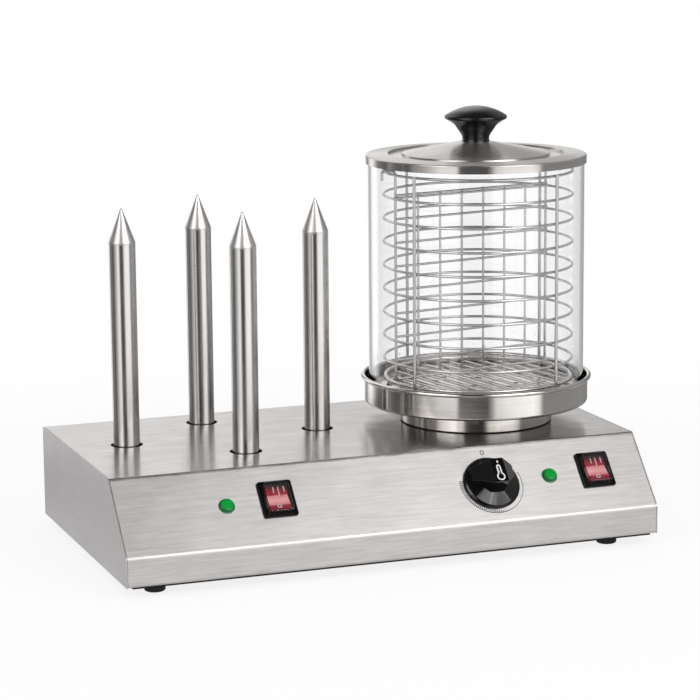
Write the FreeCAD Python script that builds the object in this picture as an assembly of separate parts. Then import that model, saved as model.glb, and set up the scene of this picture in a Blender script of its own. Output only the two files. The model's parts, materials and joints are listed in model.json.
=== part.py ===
import FreeCAD, Part
import math
import os

from FreeCAD import Placement, Rotation, Vector

# Countertop hot dog toaster: a folded sheet casing with four heated bun rods on the left and a
# steamer on the right, made of a water pot, a perforated plate, a glass cylinder, a wire basket
# with a divider, and a lid. Every piece is a solid of its own, in millimetres.
#
# Frame of the finished part: +X right, +Y back, +Z up, origin on the table under the middle of the
# whole object. Pieces are built about the middle of the casing and moved by SHIFT_Y at the end.

# ------------------------------------------------------------------ casing
CASING_WIDTH = 500.0
CASING_DEPTH = 285.0
CASING_BOTTOM_Z = 10.0
LIP_TOP_Z = 35.6
CASING_TOP_Z = 94.0
SLOPE_RUN = 53.0
SHEET = 1.0
BEND_RADIUS = 1.2
LIP_BEND_RADIUS = 3.2
RETURN_FLANGE = 20.0
PANEL_FLANGE = 12.0
SEAM_GAP = 0.3
FRONT_Y = -CASING_DEPTH / 2
BACK_Y = CASING_DEPTH / 2
PANEL_X = CASING_WIDTH / 2 - SHEET

BASE_THICKNESS = 1.6
BASE_TOP_Z = CASING_BOTTOM_Z
BASE_Z = BASE_TOP_Z - BASE_THICKNESS
BASE_END_INSET = 6.0
BASE_EDGE_INSET = 2.5
VENT_LENGTH = 42.0
VENT_WIDTH = 5.0
VENT_PITCH = 12.0
VENT_ROWS = ((-106.0, 7), (141.0, 7))
BASE_SCREW_X = (-150.0, 0.0, 150.0)
BASE_SCREW_INSET = 15.0
BASE_SCREW_RADIUS = 1.75
BASE_SCREW_HEAD = (3.4, 1.8)

FOOT_RADIUS = 9.4
FOOT_PLACES = {
    "foot_front_left": (-219.0, -120.0),
    "foot_front_right": (209.5, -120.0),
    "foot_rear_left": (-219.0, 120.0),
    "foot_rear_right": (209.5, 120.0),
}
FOOT_SCREW_RADIUS = 2.0
FOOT_RECESS_RADIUS = 4.5
FOOT_RECESS_DEPTH = 4.0

# ------------------------------------------------------------------ control slope
SLOPE_ANGLE = math.degrees(math.atan2(CASING_TOP_Z - LIP_TOP_Z, SLOPE_RUN))
SWITCHES = {"left": (-104.9, 43.3), "right": (200.2, 42.4)}
LAMPS = {"left": (-151.4, 41.4), "right": (154.5, 41.0)}
KNOB_X = 96.7
KNOB_S = 38.7

SWITCH_FRAME = (31.3, 35.7, 2.8)
SWITCH_WINDOW = (24.6, 30.6)
SWITCH_HOUSING = (24.2, 30.2)
SWITCH_WELL = (19.4, 26.4)
SWITCH_CUTOUT = (24.6, 30.6)
HOUSING_DEPTH = 24.0
HOUSING_TOP = 1.0
WELL_DEPTH = 10.0
ROCKER_WIDTH = 18.6
ROCKER_HALF_LENGTH = 12.4
ROCKER_END_H = 4.4
ROCKER_RIDGE_H = 2.6
ROCKER_PIVOT_H = -1.5
ROCKER_TILT = 7.0
PIVOT_RADIUS = 1.3
RUNNING_GAP = 0.06
COVER_BASE = (24.0, 30.0)
COVER_TOP = (23.5, 29.5)
COVER_HEIGHT = 7.4
COVER_WALL = 0.9

LENS_RADIUS = 7.2
LENS_HEIGHT = 4.2
LAMP_BODY_RADIUS = 6.0
LAMP_BODY_DEPTH = 22.0
LAMP_BORE_RADIUS = 4.7

KNOB_RADIUS = 26.0
KNOB_LIFT = 0.8
GRIP_TOP_H = 25.0
GRIP_FOOT_H = 8.0
GRIP_HALF_WIDTH = 6.0
GRIP_HALF_LENGTH = 12.4
GRIP_WING = 20.7
SHAFT_RADIUS = 3.0
SHAFT_TOP_H = 18.0
SHAFT_END_H = -13.0
BUSHING_RADIUS = 4.9
BUSHING_TOP_H = 3.2
THERMOSTAT_SIZE = (44.0, 34.0, 24.0)

# ------------------------------------------------------------------ bun rods
ROD_CENTRE = (-106.0, 36.0)
ROD_SPREAD_X = 92.0
ROD_SPREAD_Y = 67.0
ROD_RADIUS = 12.0
ROD_WALL = 1.5
ROD_SEAT_Z = 60.0
ROD_SHOULDER_Z = 280.0
ROD_TIP_Z = 310.5
ROD_TIP_RADIUS = 0.9
ROD_STUB_RADIUS = 6.0
ROD_STUB_Z = 44.0
ROD_LEAD_BORE = 2.4
ROD_HOLE_RADIUS = 14.7
HEATER_CLEARANCE = 0.3
BRACKET_THICKNESS = 3.0
NUT_ACROSS_FLATS = 18.0
NUT_HEIGHT = 8.0
ROD_PLACES = {
    "left": (ROD_CENTRE[0] - ROD_SPREAD_X, ROD_CENTRE[1]),
    "rear": (ROD_CENTRE[0], ROD_CENTRE[1] + ROD_SPREAD_Y),
    "front": (ROD_CENTRE[0], ROD_CENTRE[1] - ROD_SPREAD_Y),
    "right": (ROD_CENTRE[0] + ROD_SPREAD_X, ROD_CENTRE[1]),
}

# ------------------------------------------------------------------ steamer
STEAM_X = 140.5
STEAM_Y = 22.0
POT_RADIUS = 68.0
POT_FLOOR_Z = 80.0
POT_WALL = 1.0
DISH_RADIUS = 105.3
DISH_UNDER_Z = 112.6
DISH_FLOOR_Z = DISH_UNDER_Z + POT_WALL
RIM_TOP_Z = 138.7
RIM_BEAD = 2.1
COLLAR_RADIUS = 71.5
COLLAR_Z = (95.2, 107.5)
GASKET_RADII = (68.3, 69.8)
HEAT_PLATE = (62.0, 4.0)
ELEMENT_RADIUS = 45.0
ELEMENT_WIRE = 4.0
STEAM_PLATE_RADIUS = 96.2
STEAM_PLATE_Z = (127.8, 129.0)
STEAM_HOLE_RADIUS = 3.0
STEAM_HOLE_RINGS = ((20.0, 6), (38.0, 12), (56.0, 18), (74.0, 24))
LIFT_GAP = 0.3
GLASS_RADIUS = 101.0
GLASS_WALL = 3.0
GLASS_TOP_Z = 344.2

BASKET_SHIFT_X = 2.2
RING_RADIUS = 88.2
RING_WIRE = 1.25
RING_TOP_Z = 330.5
RING_PITCH = 22.0
RING_COUNT = 9
BASE_RING_WIRE = 2.0
BASE_RING_Z = 136.2
UPRIGHT_WIRE = 1.5
UPRIGHT_ANGLES = (25.5, 116.0, 207.8, 298.3)
WELD_DEPTH = 0.08
FLOOR_WIRE = 1.0
FLOOR_PITCH = 14.0
FLOOR_WIRES = 12

DIVIDER_ANGLE = 11.0
DIVIDER_RADIUS = 85.3
DIVIDER_OFFSET = 9.04
DIVIDER_WIRE = 1.1
DIVIDER_END_WIRE = 1.25
DIVIDER_TOP_Z = 311.6
DIVIDER_DOUBLE = 2.5
DIVIDER_UPRIGHTS = 6
DIVIDER_FOOT_Z = 138.8
HOOK_RADIUS = 93.0
HOOK_TURN = 8.5
HOOK_TIP_Z = 323.8
HOOK_BEND = 3.4

LID_RADIUS = 103.0
LID_SKIRT_Z = 337.8
LID_EDGE_Z = 345.5
LID_STEP_RADIUS = 82.0
LID_STEP_Z = 346.7
LID_GROOVE_RADIUS = 69.2
LID_GROOVE_Z = 344.6
LID_CONE_Z = 346.6
LID_TOP_RADIUS = 15.0
LID_TOP_Z = 357.0
LID_SHEET = 1.0
LID_KNOB_TOP_Z = 390.0
LID_SCREW_RADIUS = 2.5
LID_SCREW_DEPTH = 16.0

# ------------------------------------------------------------------ rear cable entry
GLAND_X = 40.0
GLAND_Z = 45.0
GLAND_BORE = 4.0
GLAND_THREAD = 8.0
GLAND_INSIDE = 15.0
GLAND_REACH = 12.0
GLAND_HEX = 20.0


# ------------------------------------------------------------------ geometry helpers
def polar(radius, degrees, centre=(0.0, 0.0)):
    """Point at a radius and an angle from +X about a centre, as x and y."""
    angle = math.radians(degrees)
    return centre[0] + radius * math.cos(angle), centre[1] + radius * math.sin(angle)


def cylinder(radius, low, high, x=0.0, y=0.0):
    """Upright cylinder between two heights."""
    return Part.makeCylinder(radius, high - low, Vector(x, y, low))


def box(x_range, y_range, z_range):
    """Box between low and high values on each axis."""
    corner = Vector(x_range[0], y_range[0], z_range[0])
    size = (x_range[1] - x_range[0], y_range[1] - y_range[0], z_range[1] - z_range[0])
    return Part.makeBox(*size, corner)


def centred_box(width, length, low, high):
    """Box centred on the Z axis between two heights."""
    return box((-width / 2, width / 2), (-length / 2, length / 2), (low, high))


def hexagon(across_flats, low, high):
    """Hexagonal prism centred on the Z axis."""
    corner_radius = across_flats / math.sqrt(3)
    points = [Vector(*polar(corner_radius, 60 * i), low) for i in range(7)]
    return Part.Face(Part.makePolygon(points)).extrude(Vector(0, 0, high - low))


def rounded_wire(corners, place):
    """Closed wire through corners given as (u, v) or (u, v, radius).

    place turns u and v into a point in space. A corner with a radius is rounded by an arc.
    """
    arcs = []
    for index, corner in enumerate(corners):
        here = Vector(corner[0], corner[1], 0)
        radius = corner[2] if len(corner) > 2 else 0.0
        if radius == 0.0:
            arcs.append((here, None, here))
            continue
        before = Vector(*corners[index - 1][:2], 0)
        after = Vector(*corners[(index + 1) % len(corners)][:2], 0)
        to_before = (before - here).normalize()
        to_after = (after - here).normalize()
        half_angle = to_before.getAngle(to_after) / 2
        bisector = (to_before + to_after).normalize()
        cut = radius / math.tan(half_angle)
        middle = here + bisector * (radius / math.sin(half_angle) - radius)
        arcs.append((here + to_before * cut, middle, here + to_after * cut))
    edges = []
    for index, (start, middle, end) in enumerate(arcs):
        last_end = arcs[index - 1][2]
        if (start - last_end).Length > 1e-6:
            edges.append(Part.LineSegment(place(last_end.x, last_end.y), place(start.x, start.y)).toShape())
        if middle is not None:
            points = [place(point.x, point.y) for point in (start, middle, end)]
            edges.append(Part.Arc(*points).toShape())
    return Part.Wire(Part.__sortEdges__(edges))


def lathe(corners, x=0.0, y=0.0):
    """Solid of revolution about the upright axis at x, y from a closed (radius, z) outline."""
    face = Part.Face(rounded_wire(corners, lambda u, v: Vector(u, 0, v)))
    solid = face.revolve(Vector(0, 0, 0), Vector(0, 0, 1), 360)
    solid.translate(Vector(x, y, 0))
    return solid


def plate(corners, low, high):
    """Flat plate from a closed (x, y) outline between two heights."""
    face = Part.Face(rounded_wire(corners, lambda u, v: Vector(u, v, low)))
    return face.extrude(Vector(0, 0, high - low))


def rounded_rectangle(width, length, radius):
    """Corners of a rectangle about the origin with rounded corners."""
    signs = ((-1, -1), (1, -1), (1, 1), (-1, 1))
    return [(sx * width / 2, sy * length / 2, radius) for sx, sy in signs]


def offset_path(points, distance):
    """Open path moved to the right of its direction by a distance, mitred at its corners."""
    normals = []
    for (u0, v0), (u1, v1) in zip(points, points[1:]):
        length = math.hypot(u1 - u0, v1 - v0)
        normals.append(((v1 - v0) / length, (u0 - u1) / length))
    moved = []
    for index, (u, v) in enumerate(points):
        first = normals[max(index - 1, 0)]
        second = normals[min(index, len(normals) - 1)]
        scale = distance / (1 + first[0] * second[0] + first[1] * second[1])
        moved.append((u + (first[0] + second[0]) * scale, v + (first[1] + second[1]) * scale))
    return moved


def turn_side(before, here, after):
    """Positive where an open path turns left, negative where it turns right."""
    first = (here[0] - before[0], here[1] - before[1])
    second = (after[0] - here[0], after[1] - here[1])
    return first[0] * second[1] - first[1] * second[0]


def folded_sheet(points, thickness, place, depth, bends=None):
    """Folded sheet from the open path of one face; the metal lies to the right of the path.

    place turns u and v into a point in space, depth is the vector of the sheet's width, and bends
    gives the inner radius at a point's index where it isn't the usual one.
    """
    outer = [tuple(points[0])]
    moved = offset_path(points, thickness)
    inner = [moved[0]]
    for index in range(1, len(points) - 1):
        right_turn = turn_side(points[index - 1], points[index], points[index + 1]) < 0
        bend = (bends or {}).get(index, BEND_RADIUS)
        outer_radius = bend + thickness if right_turn else bend
        inner_radius = bend if right_turn else bend + thickness
        outer.append((*points[index], outer_radius))
        inner.append((*moved[index], inner_radius))
    outer.append(tuple(points[-1]))
    inner.append(moved[-1])
    face = Part.Face(rounded_wire(outer + inner[::-1], place))
    return face.extrude(depth)


def bent_wire(points, radius, bend=None):
    """Round wire along straight runs, with a tangent arc at each corner where bend is given."""
    edges = []
    last_end = points[0]
    for before, here, after in zip(points, points[1:], points[2:]):
        to_before = (before - here).normalize()
        to_after = (after - here).normalize()
        half_angle = to_before.getAngle(to_after) / 2
        cut = bend / math.tan(half_angle)
        bisector = (to_before + to_after).normalize()
        start = here + to_before * cut
        middle = here + bisector * (bend / math.sin(half_angle) - bend)
        end = here + to_after * cut
        edges.append(Part.LineSegment(last_end, start).toShape())
        edges.append(Part.Arc(start, middle, end).toShape())
        last_end = end
    edges.append(Part.LineSegment(last_end, points[-1]).toShape())
    section = Part.Wire(Part.makeCircle(radius, points[0], points[1] - points[0]))
    return Part.Wire(edges).makePipeShell([section], True, False)


def straight_wire(start, end, radius):
    """Straight round wire between two points."""
    return Part.makeCylinder(radius, (end - start).Length, start, end - start)


def on_slope(shape, x, s):
    """Place a shape drawn flat, with +Y up the slope and +Z out of it, at x, s on the slope."""
    turn = Rotation(Vector(1, 0, 0), SLOPE_ANGLE)
    origin = Vector(0, FRONT_Y, LIP_TOP_Z) + turn.multVec(Vector(x, s, 0))
    placed = shape.copy()
    placed.Placement = Placement(origin, turn).multiply(shape.Placement)
    return placed


def slope_y(s, h):
    """Y of a point s up the slope and h out of it."""
    angle = math.radians(SLOPE_ANGLE)
    return FRONT_Y + s * math.cos(angle) - h * math.sin(angle)


def group(solids):
    """Several separate solids kept as one node."""
    return Part.makeCompound(solids)


SHIFT_Y = -(BACK_Y + GLAND_REACH + slope_y(KNOB_S - GRIP_HALF_LENGTH, GRIP_TOP_H)) / 2


# ------------------------------------------------------------------ casing
def slope_cutouts():
    """Holes of the switches, lamps and thermostat through the control slope."""
    through = (-3 * SHEET, 3 * SHEET)
    cutouts = []
    for x, s in SWITCHES.values():
        cutouts.append(on_slope(centred_box(*SWITCH_CUTOUT, *through), x, s))
    for x, s in LAMPS.values():
        cutouts.append(on_slope(cylinder(LAMP_BODY_RADIUS + 0.2, *through), x, s))
    cutouts.append(on_slope(cylinder(BUSHING_RADIUS + 0.2, *through), KNOB_X, KNOB_S))
    return cutouts


def base_screw_places():
    """Middles of the screws that hold the base plate to the two return flanges."""
    inset = BASE_SCREW_INSET
    return [(x, y) for x in BASE_SCREW_X for y in (FRONT_Y + inset, BACK_Y - inset)]


def casing_wrap():
    """One folded sheet: return flange, front lip, control slope, top, back, return flange."""
    path = [
        (FRONT_Y + RETURN_FLANGE, CASING_BOTTOM_Z),
        (FRONT_Y, CASING_BOTTOM_Z),
        (FRONT_Y, LIP_TOP_Z),
        (FRONT_Y + SLOPE_RUN, CASING_TOP_Z),
        (BACK_Y, CASING_TOP_Z),
        (BACK_Y, CASING_BOTTOM_Z),
        (BACK_Y - RETURN_FLANGE, CASING_BOTTOM_Z),
    ]
    half_width = PANEL_X - SEAM_GAP
    width = Vector(2 * half_width, 0, 0)
    lip_fold = {2: LIP_BEND_RADIUS}
    wrap = folded_sheet(path, SHEET, lambda u, v: Vector(-half_width, u, v), width, lip_fold)
    cuts = slope_cutouts()
    for x, y in ROD_PLACES.values():
        cuts.append(cylinder(ROD_HOLE_RADIUS, CASING_TOP_Z - 5, CASING_TOP_Z + 5, x, y))
    cuts.append(cylinder(POT_RADIUS + 0.4, CASING_TOP_Z - 5, CASING_TOP_Z + 5, STEAM_X, STEAM_Y))
    gland_hole = Part.makeCylinder(
        GLAND_THREAD + 0.1, 10, Vector(GLAND_X, BACK_Y - 5, GLAND_Z), Vector(0, 1, 0))
    cuts.append(gland_hole)
    for x, y in base_screw_places():
        hole = cylinder(BASE_SCREW_RADIUS + 0.1, CASING_BOTTOM_Z - 1, CASING_BOTTOM_Z + SHEET + 1, x, y)
        cuts.append(hole)
    return wrap.cut(cuts)


def end_panel(side):
    """Flat side panel with the casing's outline and a return flange; side is -1 or 1."""
    bend = BEND_RADIUS + SHEET
    outline = [
        (FRONT_Y, CASING_BOTTOM_Z),
        (FRONT_Y, LIP_TOP_Z, LIP_BEND_RADIUS + SHEET),
        (FRONT_Y + SLOPE_RUN, CASING_TOP_Z, bend),
        (BACK_Y, CASING_TOP_Z, bend),
        (BACK_Y, CASING_BOTTOM_Z),
    ]
    inner_x = side * PANEL_X
    face = Part.Face(rounded_wire(outline, lambda u, v: Vector(inner_x, u, v)))
    panel = face.extrude(Vector(side * SHEET, 0, 0))
    reach = sorted((inner_x, side * (PANEL_X - PANEL_FLANGE)))
    depth = BACK_Y - RETURN_FLANGE - 1
    flange = box(reach, (-depth, depth), (CASING_BOTTOM_Z, CASING_BOTTOM_Z + SHEET))
    return panel.fuse(flange).removeSplitter()


def base_plate():
    """Bottom plate with two rows of vent slots, screwed on under the return flanges."""
    half_x = CASING_WIDTH / 2 - BASE_END_INSET
    half_y = BACK_Y - BASE_EDGE_INSET
    base = box((-half_x, half_x), (-half_y, half_y), (BASE_Z, BASE_TOP_Z))
    cuts = []
    slot = rounded_rectangle(VENT_WIDTH, VENT_LENGTH, VENT_WIDTH / 2 - 0.01)
    for middle_x, count in VENT_ROWS:
        for index in range(count):
            vent = plate(slot, BASE_Z - 1, BASE_TOP_Z + 1)
            vent.translate(Vector(middle_x + (index - (count - 1) / 2) * VENT_PITCH, -60, 0))
            cuts.append(vent)
    for x, y in base_screw_places():
        cuts.append(cylinder(BASE_SCREW_RADIUS + 0.05, BASE_Z - 1, BASE_TOP_Z + 1, x, y))
    for x, y in FOOT_PLACES.values():
        cuts.append(cylinder(FOOT_SCREW_RADIUS + 0.05, BASE_Z - 1, BASE_TOP_Z + 1, x, y))
    return base.cut(cuts)


def screw(radius, low, high, head_radius, head_height, x, y):
    """Screw put in from below: a rounded head under a shank between two heights."""
    outline = [
        (0, low - head_height),
        (head_radius, low - head_height, head_height * 0.45),
        (head_radius, low),
        (radius, low),
        (radius, high),
        (0, high),
    ]
    return lathe(outline, x, y)


def base_screws():
    """Six screws through the base plate into the return flanges."""
    head_radius, head_height = BASE_SCREW_HEAD
    return group([
        screw(BASE_SCREW_RADIUS, BASE_Z, BASE_TOP_Z + SHEET + 2, head_radius, head_height, x, y)
        for x, y in base_screw_places()
    ])


def foot(x, y):
    """Rubber foot with a recess for its screw, from the table to the base plate."""
    outline = [
        (FOOT_RECESS_RADIUS, 0),
        (FOOT_RADIUS - 0.2, 0, 2.0),
        (FOOT_RADIUS, BASE_Z - 2, 1.0),
        (FOOT_RADIUS - 0.6, BASE_Z),
        (FOOT_SCREW_RADIUS + 0.05, BASE_Z),
        (FOOT_SCREW_RADIUS + 0.05, FOOT_RECESS_DEPTH),
        (FOOT_RECESS_RADIUS, FOOT_RECESS_DEPTH),
    ]
    return lathe(outline, x, y)


def foot_screws():
    """One screw up through each foot into the base plate."""
    head_height = 2.0
    return group([
        screw(FOOT_SCREW_RADIUS, FOOT_RECESS_DEPTH, BASE_TOP_Z + 3, 3.8, head_height, x, y)
        for x, y in FOOT_PLACES.values()
    ])


def casing_parts():
    """Nodes of the casing, its base and its feet."""
    parts = {
        "casing_wrap": casing_wrap(),
        "left_end_panel": end_panel(-1),
        "right_end_panel": end_panel(1),
        "base_plate": base_plate(),
        "base_screws": base_screws(),
        "foot_screws": foot_screws(),
    }
    for name, (x, y) in FOOT_PLACES.items():
        parts[name] = foot(x, y)
    return parts


# ------------------------------------------------------------------ bun rods
def toasting_rod(x, y):
    """Steel tube with a pointed end and a threaded stub that the heater's leads pass through."""
    bore = ROD_RADIUS - ROD_WALL
    outline = [
        (ROD_LEAD_BORE, ROD_STUB_Z),
        (ROD_STUB_RADIUS, ROD_STUB_Z),
        (ROD_STUB_RADIUS, ROD_SEAT_Z),
        (ROD_RADIUS, ROD_SEAT_Z),
        (ROD_RADIUS, ROD_SHOULDER_Z, 3.0),
        (ROD_TIP_RADIUS, ROD_TIP_Z - 1.0, 0.8),
        (0, ROD_TIP_Z),
        (0, ROD_SHOULDER_Z - 12),
        (bore, ROD_SHOULDER_Z - 18),
        (bore, ROD_SEAT_Z + 4),
        (ROD_LEAD_BORE, ROD_SEAT_Z + 4),
    ]
    return lathe(outline, x, y)


def rod_heater(x, y):
    """Cartridge heater inside a rod, with its ceramic lead stem."""
    radius = ROD_RADIUS - ROD_WALL - HEATER_CLEARANCE
    stem = ROD_LEAD_BORE - 0.4
    cartridge_z = ROD_SEAT_Z + 6
    outline = [
        (0, ROD_STUB_Z - 6),
        (stem, ROD_STUB_Z - 6),
        (stem, cartridge_z),
        (radius, cartridge_z, 1.0),
        (radius, ROD_SHOULDER_Z - 24, 2.0),
        (0, ROD_SHOULDER_Z - 24),
    ]
    return lathe(outline, x, y)


def rod_bracket():
    """Bridge of folded sheet over the base plate that carries the four rods."""
    half_span = ROD_SPREAD_X + 24
    left = ROD_CENTRE[0] - half_span
    right = ROD_CENTRE[0] + half_span
    flange = 12.0
    path = [
        (left - flange, BASE_TOP_Z + BRACKET_THICKNESS),
        (left, BASE_TOP_Z + BRACKET_THICKNESS),
        (left, ROD_SEAT_Z),
        (right, ROD_SEAT_Z),
        (right, BASE_TOP_Z + BRACKET_THICKNESS),
        (right + flange, BASE_TOP_Z + BRACKET_THICKNESS),
    ]
    half_depth = ROD_SPREAD_Y + 12
    front = ROD_CENTRE[1] - half_depth
    bridge = folded_sheet(
        path, BRACKET_THICKNESS, lambda u, v: Vector(u, front, v), Vector(0, 2 * half_depth, 0))
    cuts = [
        cylinder(ROD_STUB_RADIUS + 0.1, ROD_SEAT_Z - 10, ROD_SEAT_Z + 5, x, y)
        for x, y in ROD_PLACES.values()
    ]
    return bridge.cut(cuts)


def rod_nuts():
    """Four hexagon nuts that clamp the rods' stubs under the bridge."""
    top = ROD_SEAT_Z - BRACKET_THICKNESS
    solids = []
    for x, y in ROD_PLACES.values():
        nut = hexagon(NUT_ACROSS_FLATS, top - NUT_HEIGHT, top)
        nut = nut.cut(cylinder(ROD_STUB_RADIUS + 0.02, top - NUT_HEIGHT - 1, top + 1))
        nut.translate(Vector(x, y, 0))
        solids.append(nut)
    return group(solids)


def rod_parts():
    """Nodes of the bun rods, their heaters and what carries them."""
    parts = {"rod_bracket": rod_bracket(), "rod_nuts": rod_nuts()}
    for name, (x, y) in ROD_PLACES.items():
        parts["toasting_rod_" + name] = toasting_rod(x, y)
        parts["rod_heater_" + name] = rod_heater(x, y)
    return parts


# ------------------------------------------------------------------ controls
def switch_frame():
    """Black frame round the switch window, with chamfered edges."""
    width, length, height = SWITCH_FRAME
    frame = plate(rounded_rectangle(width, length, 2.4), 0, height)
    top_edges = [edge for edge in frame.Edges if edge.BoundBox.ZMin > height - 0.01]
    frame = frame.makeChamfer(0.7, top_edges)
    window = plate(rounded_rectangle(*SWITCH_WINDOW, 2.0), -1, height + 1)
    return frame.cut(window)


def switch_housing():
    """Switch body with the rocker's well, pivot holes, snap lugs and three terminals."""
    width, length = SWITCH_HOUSING
    body = plate(rounded_rectangle(width, length, 1.6), -HOUSING_DEPTH, HOUSING_TOP)
    well = centred_box(*SWITCH_WELL, HOUSING_TOP - WELL_DEPTH, HOUSING_TOP + 1)
    pivot = Part.makeCylinder(
        PIVOT_RADIUS + RUNNING_GAP, width + 2, Vector(-width / 2 - 1, 0, ROCKER_PIVOT_H), Vector(1, 0, 0))
    body = body.cut([well, pivot])
    lug_width = 8.0
    lug_reach = length / 2 + 0.9
    lug = box((-lug_width / 2, lug_width / 2), (-lug_reach, lug_reach), (-6.0, -SHEET - 0.05))
    lug = lug.cut(centred_box(lug_width + 2, length - 1, -7.0, 0.0))
    terminals = [
        box((x - 0.4, x + 0.4), (s - 3.15, s + 3.15), (-HOUSING_DEPTH - 8, -HOUSING_DEPTH))
        for x, s in ((0.0, -8.0), (0.0, 1.0), (0.0, 9.5))
    ]
    return body.fuse([lug, *terminals]).removeSplitter()


def switch_rocker():
    """Rocker with two facets, its upper end pressed in, and a pivot pin at each side."""
    half = ROCKER_HALF_LENGTH
    outline = [
        (-half, ROCKER_END_H, 0.8),
        (0, ROCKER_RIDGE_H, 6.0),
        (half, ROCKER_END_H, 0.8),
        (half - 0.6, -0.5, 1.0),
        (4.0, -5.0, 1.5),
        (-4.0, -5.0, 1.5),
        (-half + 0.6, -0.5, 1.0),
    ]
    face = Part.Face(rounded_wire(outline, lambda u, v: Vector(-ROCKER_WIDTH / 2, u, v)))
    body = face.extrude(Vector(ROCKER_WIDTH, 0, 0))
    pin_length = SWITCH_HOUSING[0] - 1.0
    pin = Part.makeCylinder(
        PIVOT_RADIUS, pin_length, Vector(-pin_length / 2, 0, ROCKER_PIVOT_H), Vector(1, 0, 0))
    rocker = body.fuse(pin).removeSplitter()
    rocker.rotate(Vector(0, 0, ROCKER_PIVOT_H), Vector(1, 0, 0), -ROCKER_TILT)
    return rocker


def frustum(base, top, low, high, radius):
    """Solid between two rounded rectangles at two heights."""
    wires = [
        rounded_wire(rounded_rectangle(*base, radius), lambda u, v: Vector(u, v, low)),
        rounded_wire(rounded_rectangle(*top, radius), lambda u, v: Vector(u, v, high)),
    ]
    return Part.makeLoft(wires, True, True)


def switch_cover():
    """Clear splash cover over the rocker, open below."""
    shrink = 2 * COVER_WALL
    outer = frustum(COVER_BASE, COVER_TOP, HOUSING_TOP, COVER_HEIGHT, 3.0)
    top_edges = [edge for edge in outer.Edges if edge.BoundBox.ZMin > COVER_HEIGHT - 0.01]
    outer = outer.makeFillet(1.2, top_edges)
    inner_base = [size - shrink for size in COVER_BASE]
    inner_top = [size - shrink for size in COVER_TOP]
    inner = frustum(inner_base, inner_top, HOUSING_TOP - 0.1, COVER_HEIGHT - COVER_WALL, 2.1)
    return outer.cut(inner)


def lamp_lens():
    """Green lens: a flange on the slope, a low dome above it and a stem into the lamp body."""
    outline = [
        (0, -6.0),
        (LAMP_BORE_RADIUS - 0.1, -6.0),
        (LAMP_BORE_RADIUS - 0.1, 0),
        (LENS_RADIUS, 0),
        (LENS_RADIUS, 1.1, 0.4),
        (LENS_RADIUS - 0.9, 1.3),
        (LENS_RADIUS - 1.0, LENS_HEIGHT - 0.35, 1.5),
        (0, LENS_HEIGHT),
    ]
    return lathe(outline)


def lamp_body():
    """Lamp holder behind the slope with its bore and two terminals."""
    tube = cylinder(LAMP_BODY_RADIUS, -LAMP_BODY_DEPTH, 0)
    bore = cylinder(LAMP_BORE_RADIUS, -LAMP_BODY_DEPTH + 2, 1)
    terminals = [
        box((x - 0.4, x + 0.4), (-2.4, 2.4), (-LAMP_BODY_DEPTH - 7, -LAMP_BODY_DEPTH))
        for x in (-3.0, 3.0)
    ]
    return tube.cut(bore).fuse(terminals)


def temperature_knob():
    """Round skirt with a pointed grip: a flat bar on top with a flank sloping down each side."""
    skirt = lathe([
        (0, KNOB_LIFT),
        (KNOB_RADIUS, KNOB_LIFT),
        (KNOB_RADIUS, 2.4, 0.7),
        (KNOB_RADIUS - 1.8, 4.0, 1.0),
        (13.0, 7.4),
        (0, GRIP_FOOT_H),
    ])
    shoulder = GRIP_HALF_LENGTH + 1.1
    wing_s = 1.6
    half = GRIP_HALF_WIDTH
    outline = [
        (-half, -GRIP_HALF_LENGTH),
        (half, -GRIP_HALF_LENGTH),
        (GRIP_WING, wing_s),
        (GRIP_WING, shoulder),
        (half, GRIP_HALF_LENGTH),
        (-half, GRIP_HALF_LENGTH),
        (-GRIP_WING, shoulder),
        (-GRIP_WING, wing_s),
    ]
    grip = plate(outline, 3.0, GRIP_TOP_H)
    for side in (-1, 1):
        flank = [
            (side * half, GRIP_TOP_H),
            (side * GRIP_WING, GRIP_FOOT_H),
            (side * 2 * GRIP_WING, GRIP_FOOT_H),
            (side * 2 * GRIP_WING, GRIP_TOP_H + 5),
            (side * half, GRIP_TOP_H + 5),
        ]
        face = Part.Face(rounded_wire(flank, lambda u, v: Vector(u, -2 * shoulder, v)))
        grip = grip.cut(face.extrude(Vector(0, 4 * shoulder, 0)))
    crown = [
        edge for edge in grip.Edges
        if edge.BoundBox.ZMin > GRIP_FOOT_H - 0.01 and edge.BoundBox.ZMax > GRIP_TOP_H - 0.01
    ]
    grip = grip.makeFillet(0.7, crown)
    knob = skirt.fuse(grip).removeSplitter()
    nut_pocket = cylinder(11.0, 0, BUSHING_TOP_H + 1.3)
    bore = cylinder(SHAFT_RADIUS, 0, SHAFT_TOP_H)
    return knob.cut([nut_pocket, bore])


def thermostat_body():
    """Thermostat box behind the slope with the bushing that comes through it."""
    width, length, depth = THERMOSTAT_SIZE
    case = centred_box(width, length, -SHEET - depth, -SHEET)
    bushing = cylinder(BUSHING_RADIUS, -SHEET, BUSHING_TOP_H)
    bore = cylinder(SHAFT_RADIUS + RUNNING_GAP, SHAFT_END_H - 1, BUSHING_TOP_H + 1)
    terminals = [
        box((x - 3.15, x + 3.15), (-9.4, -8.6), (-SHEET - depth - 8, -SHEET - depth))
        for x in (-12.0, 12.0)
    ]
    return case.fuse([bushing, *terminals]).cut(bore)


def thermostat_nut():
    """Hexagon nut on the bushing, under the knob."""
    return hexagon(14.0, 0, 2.6).cut(cylinder(BUSHING_RADIUS, -1, 4))


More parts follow.
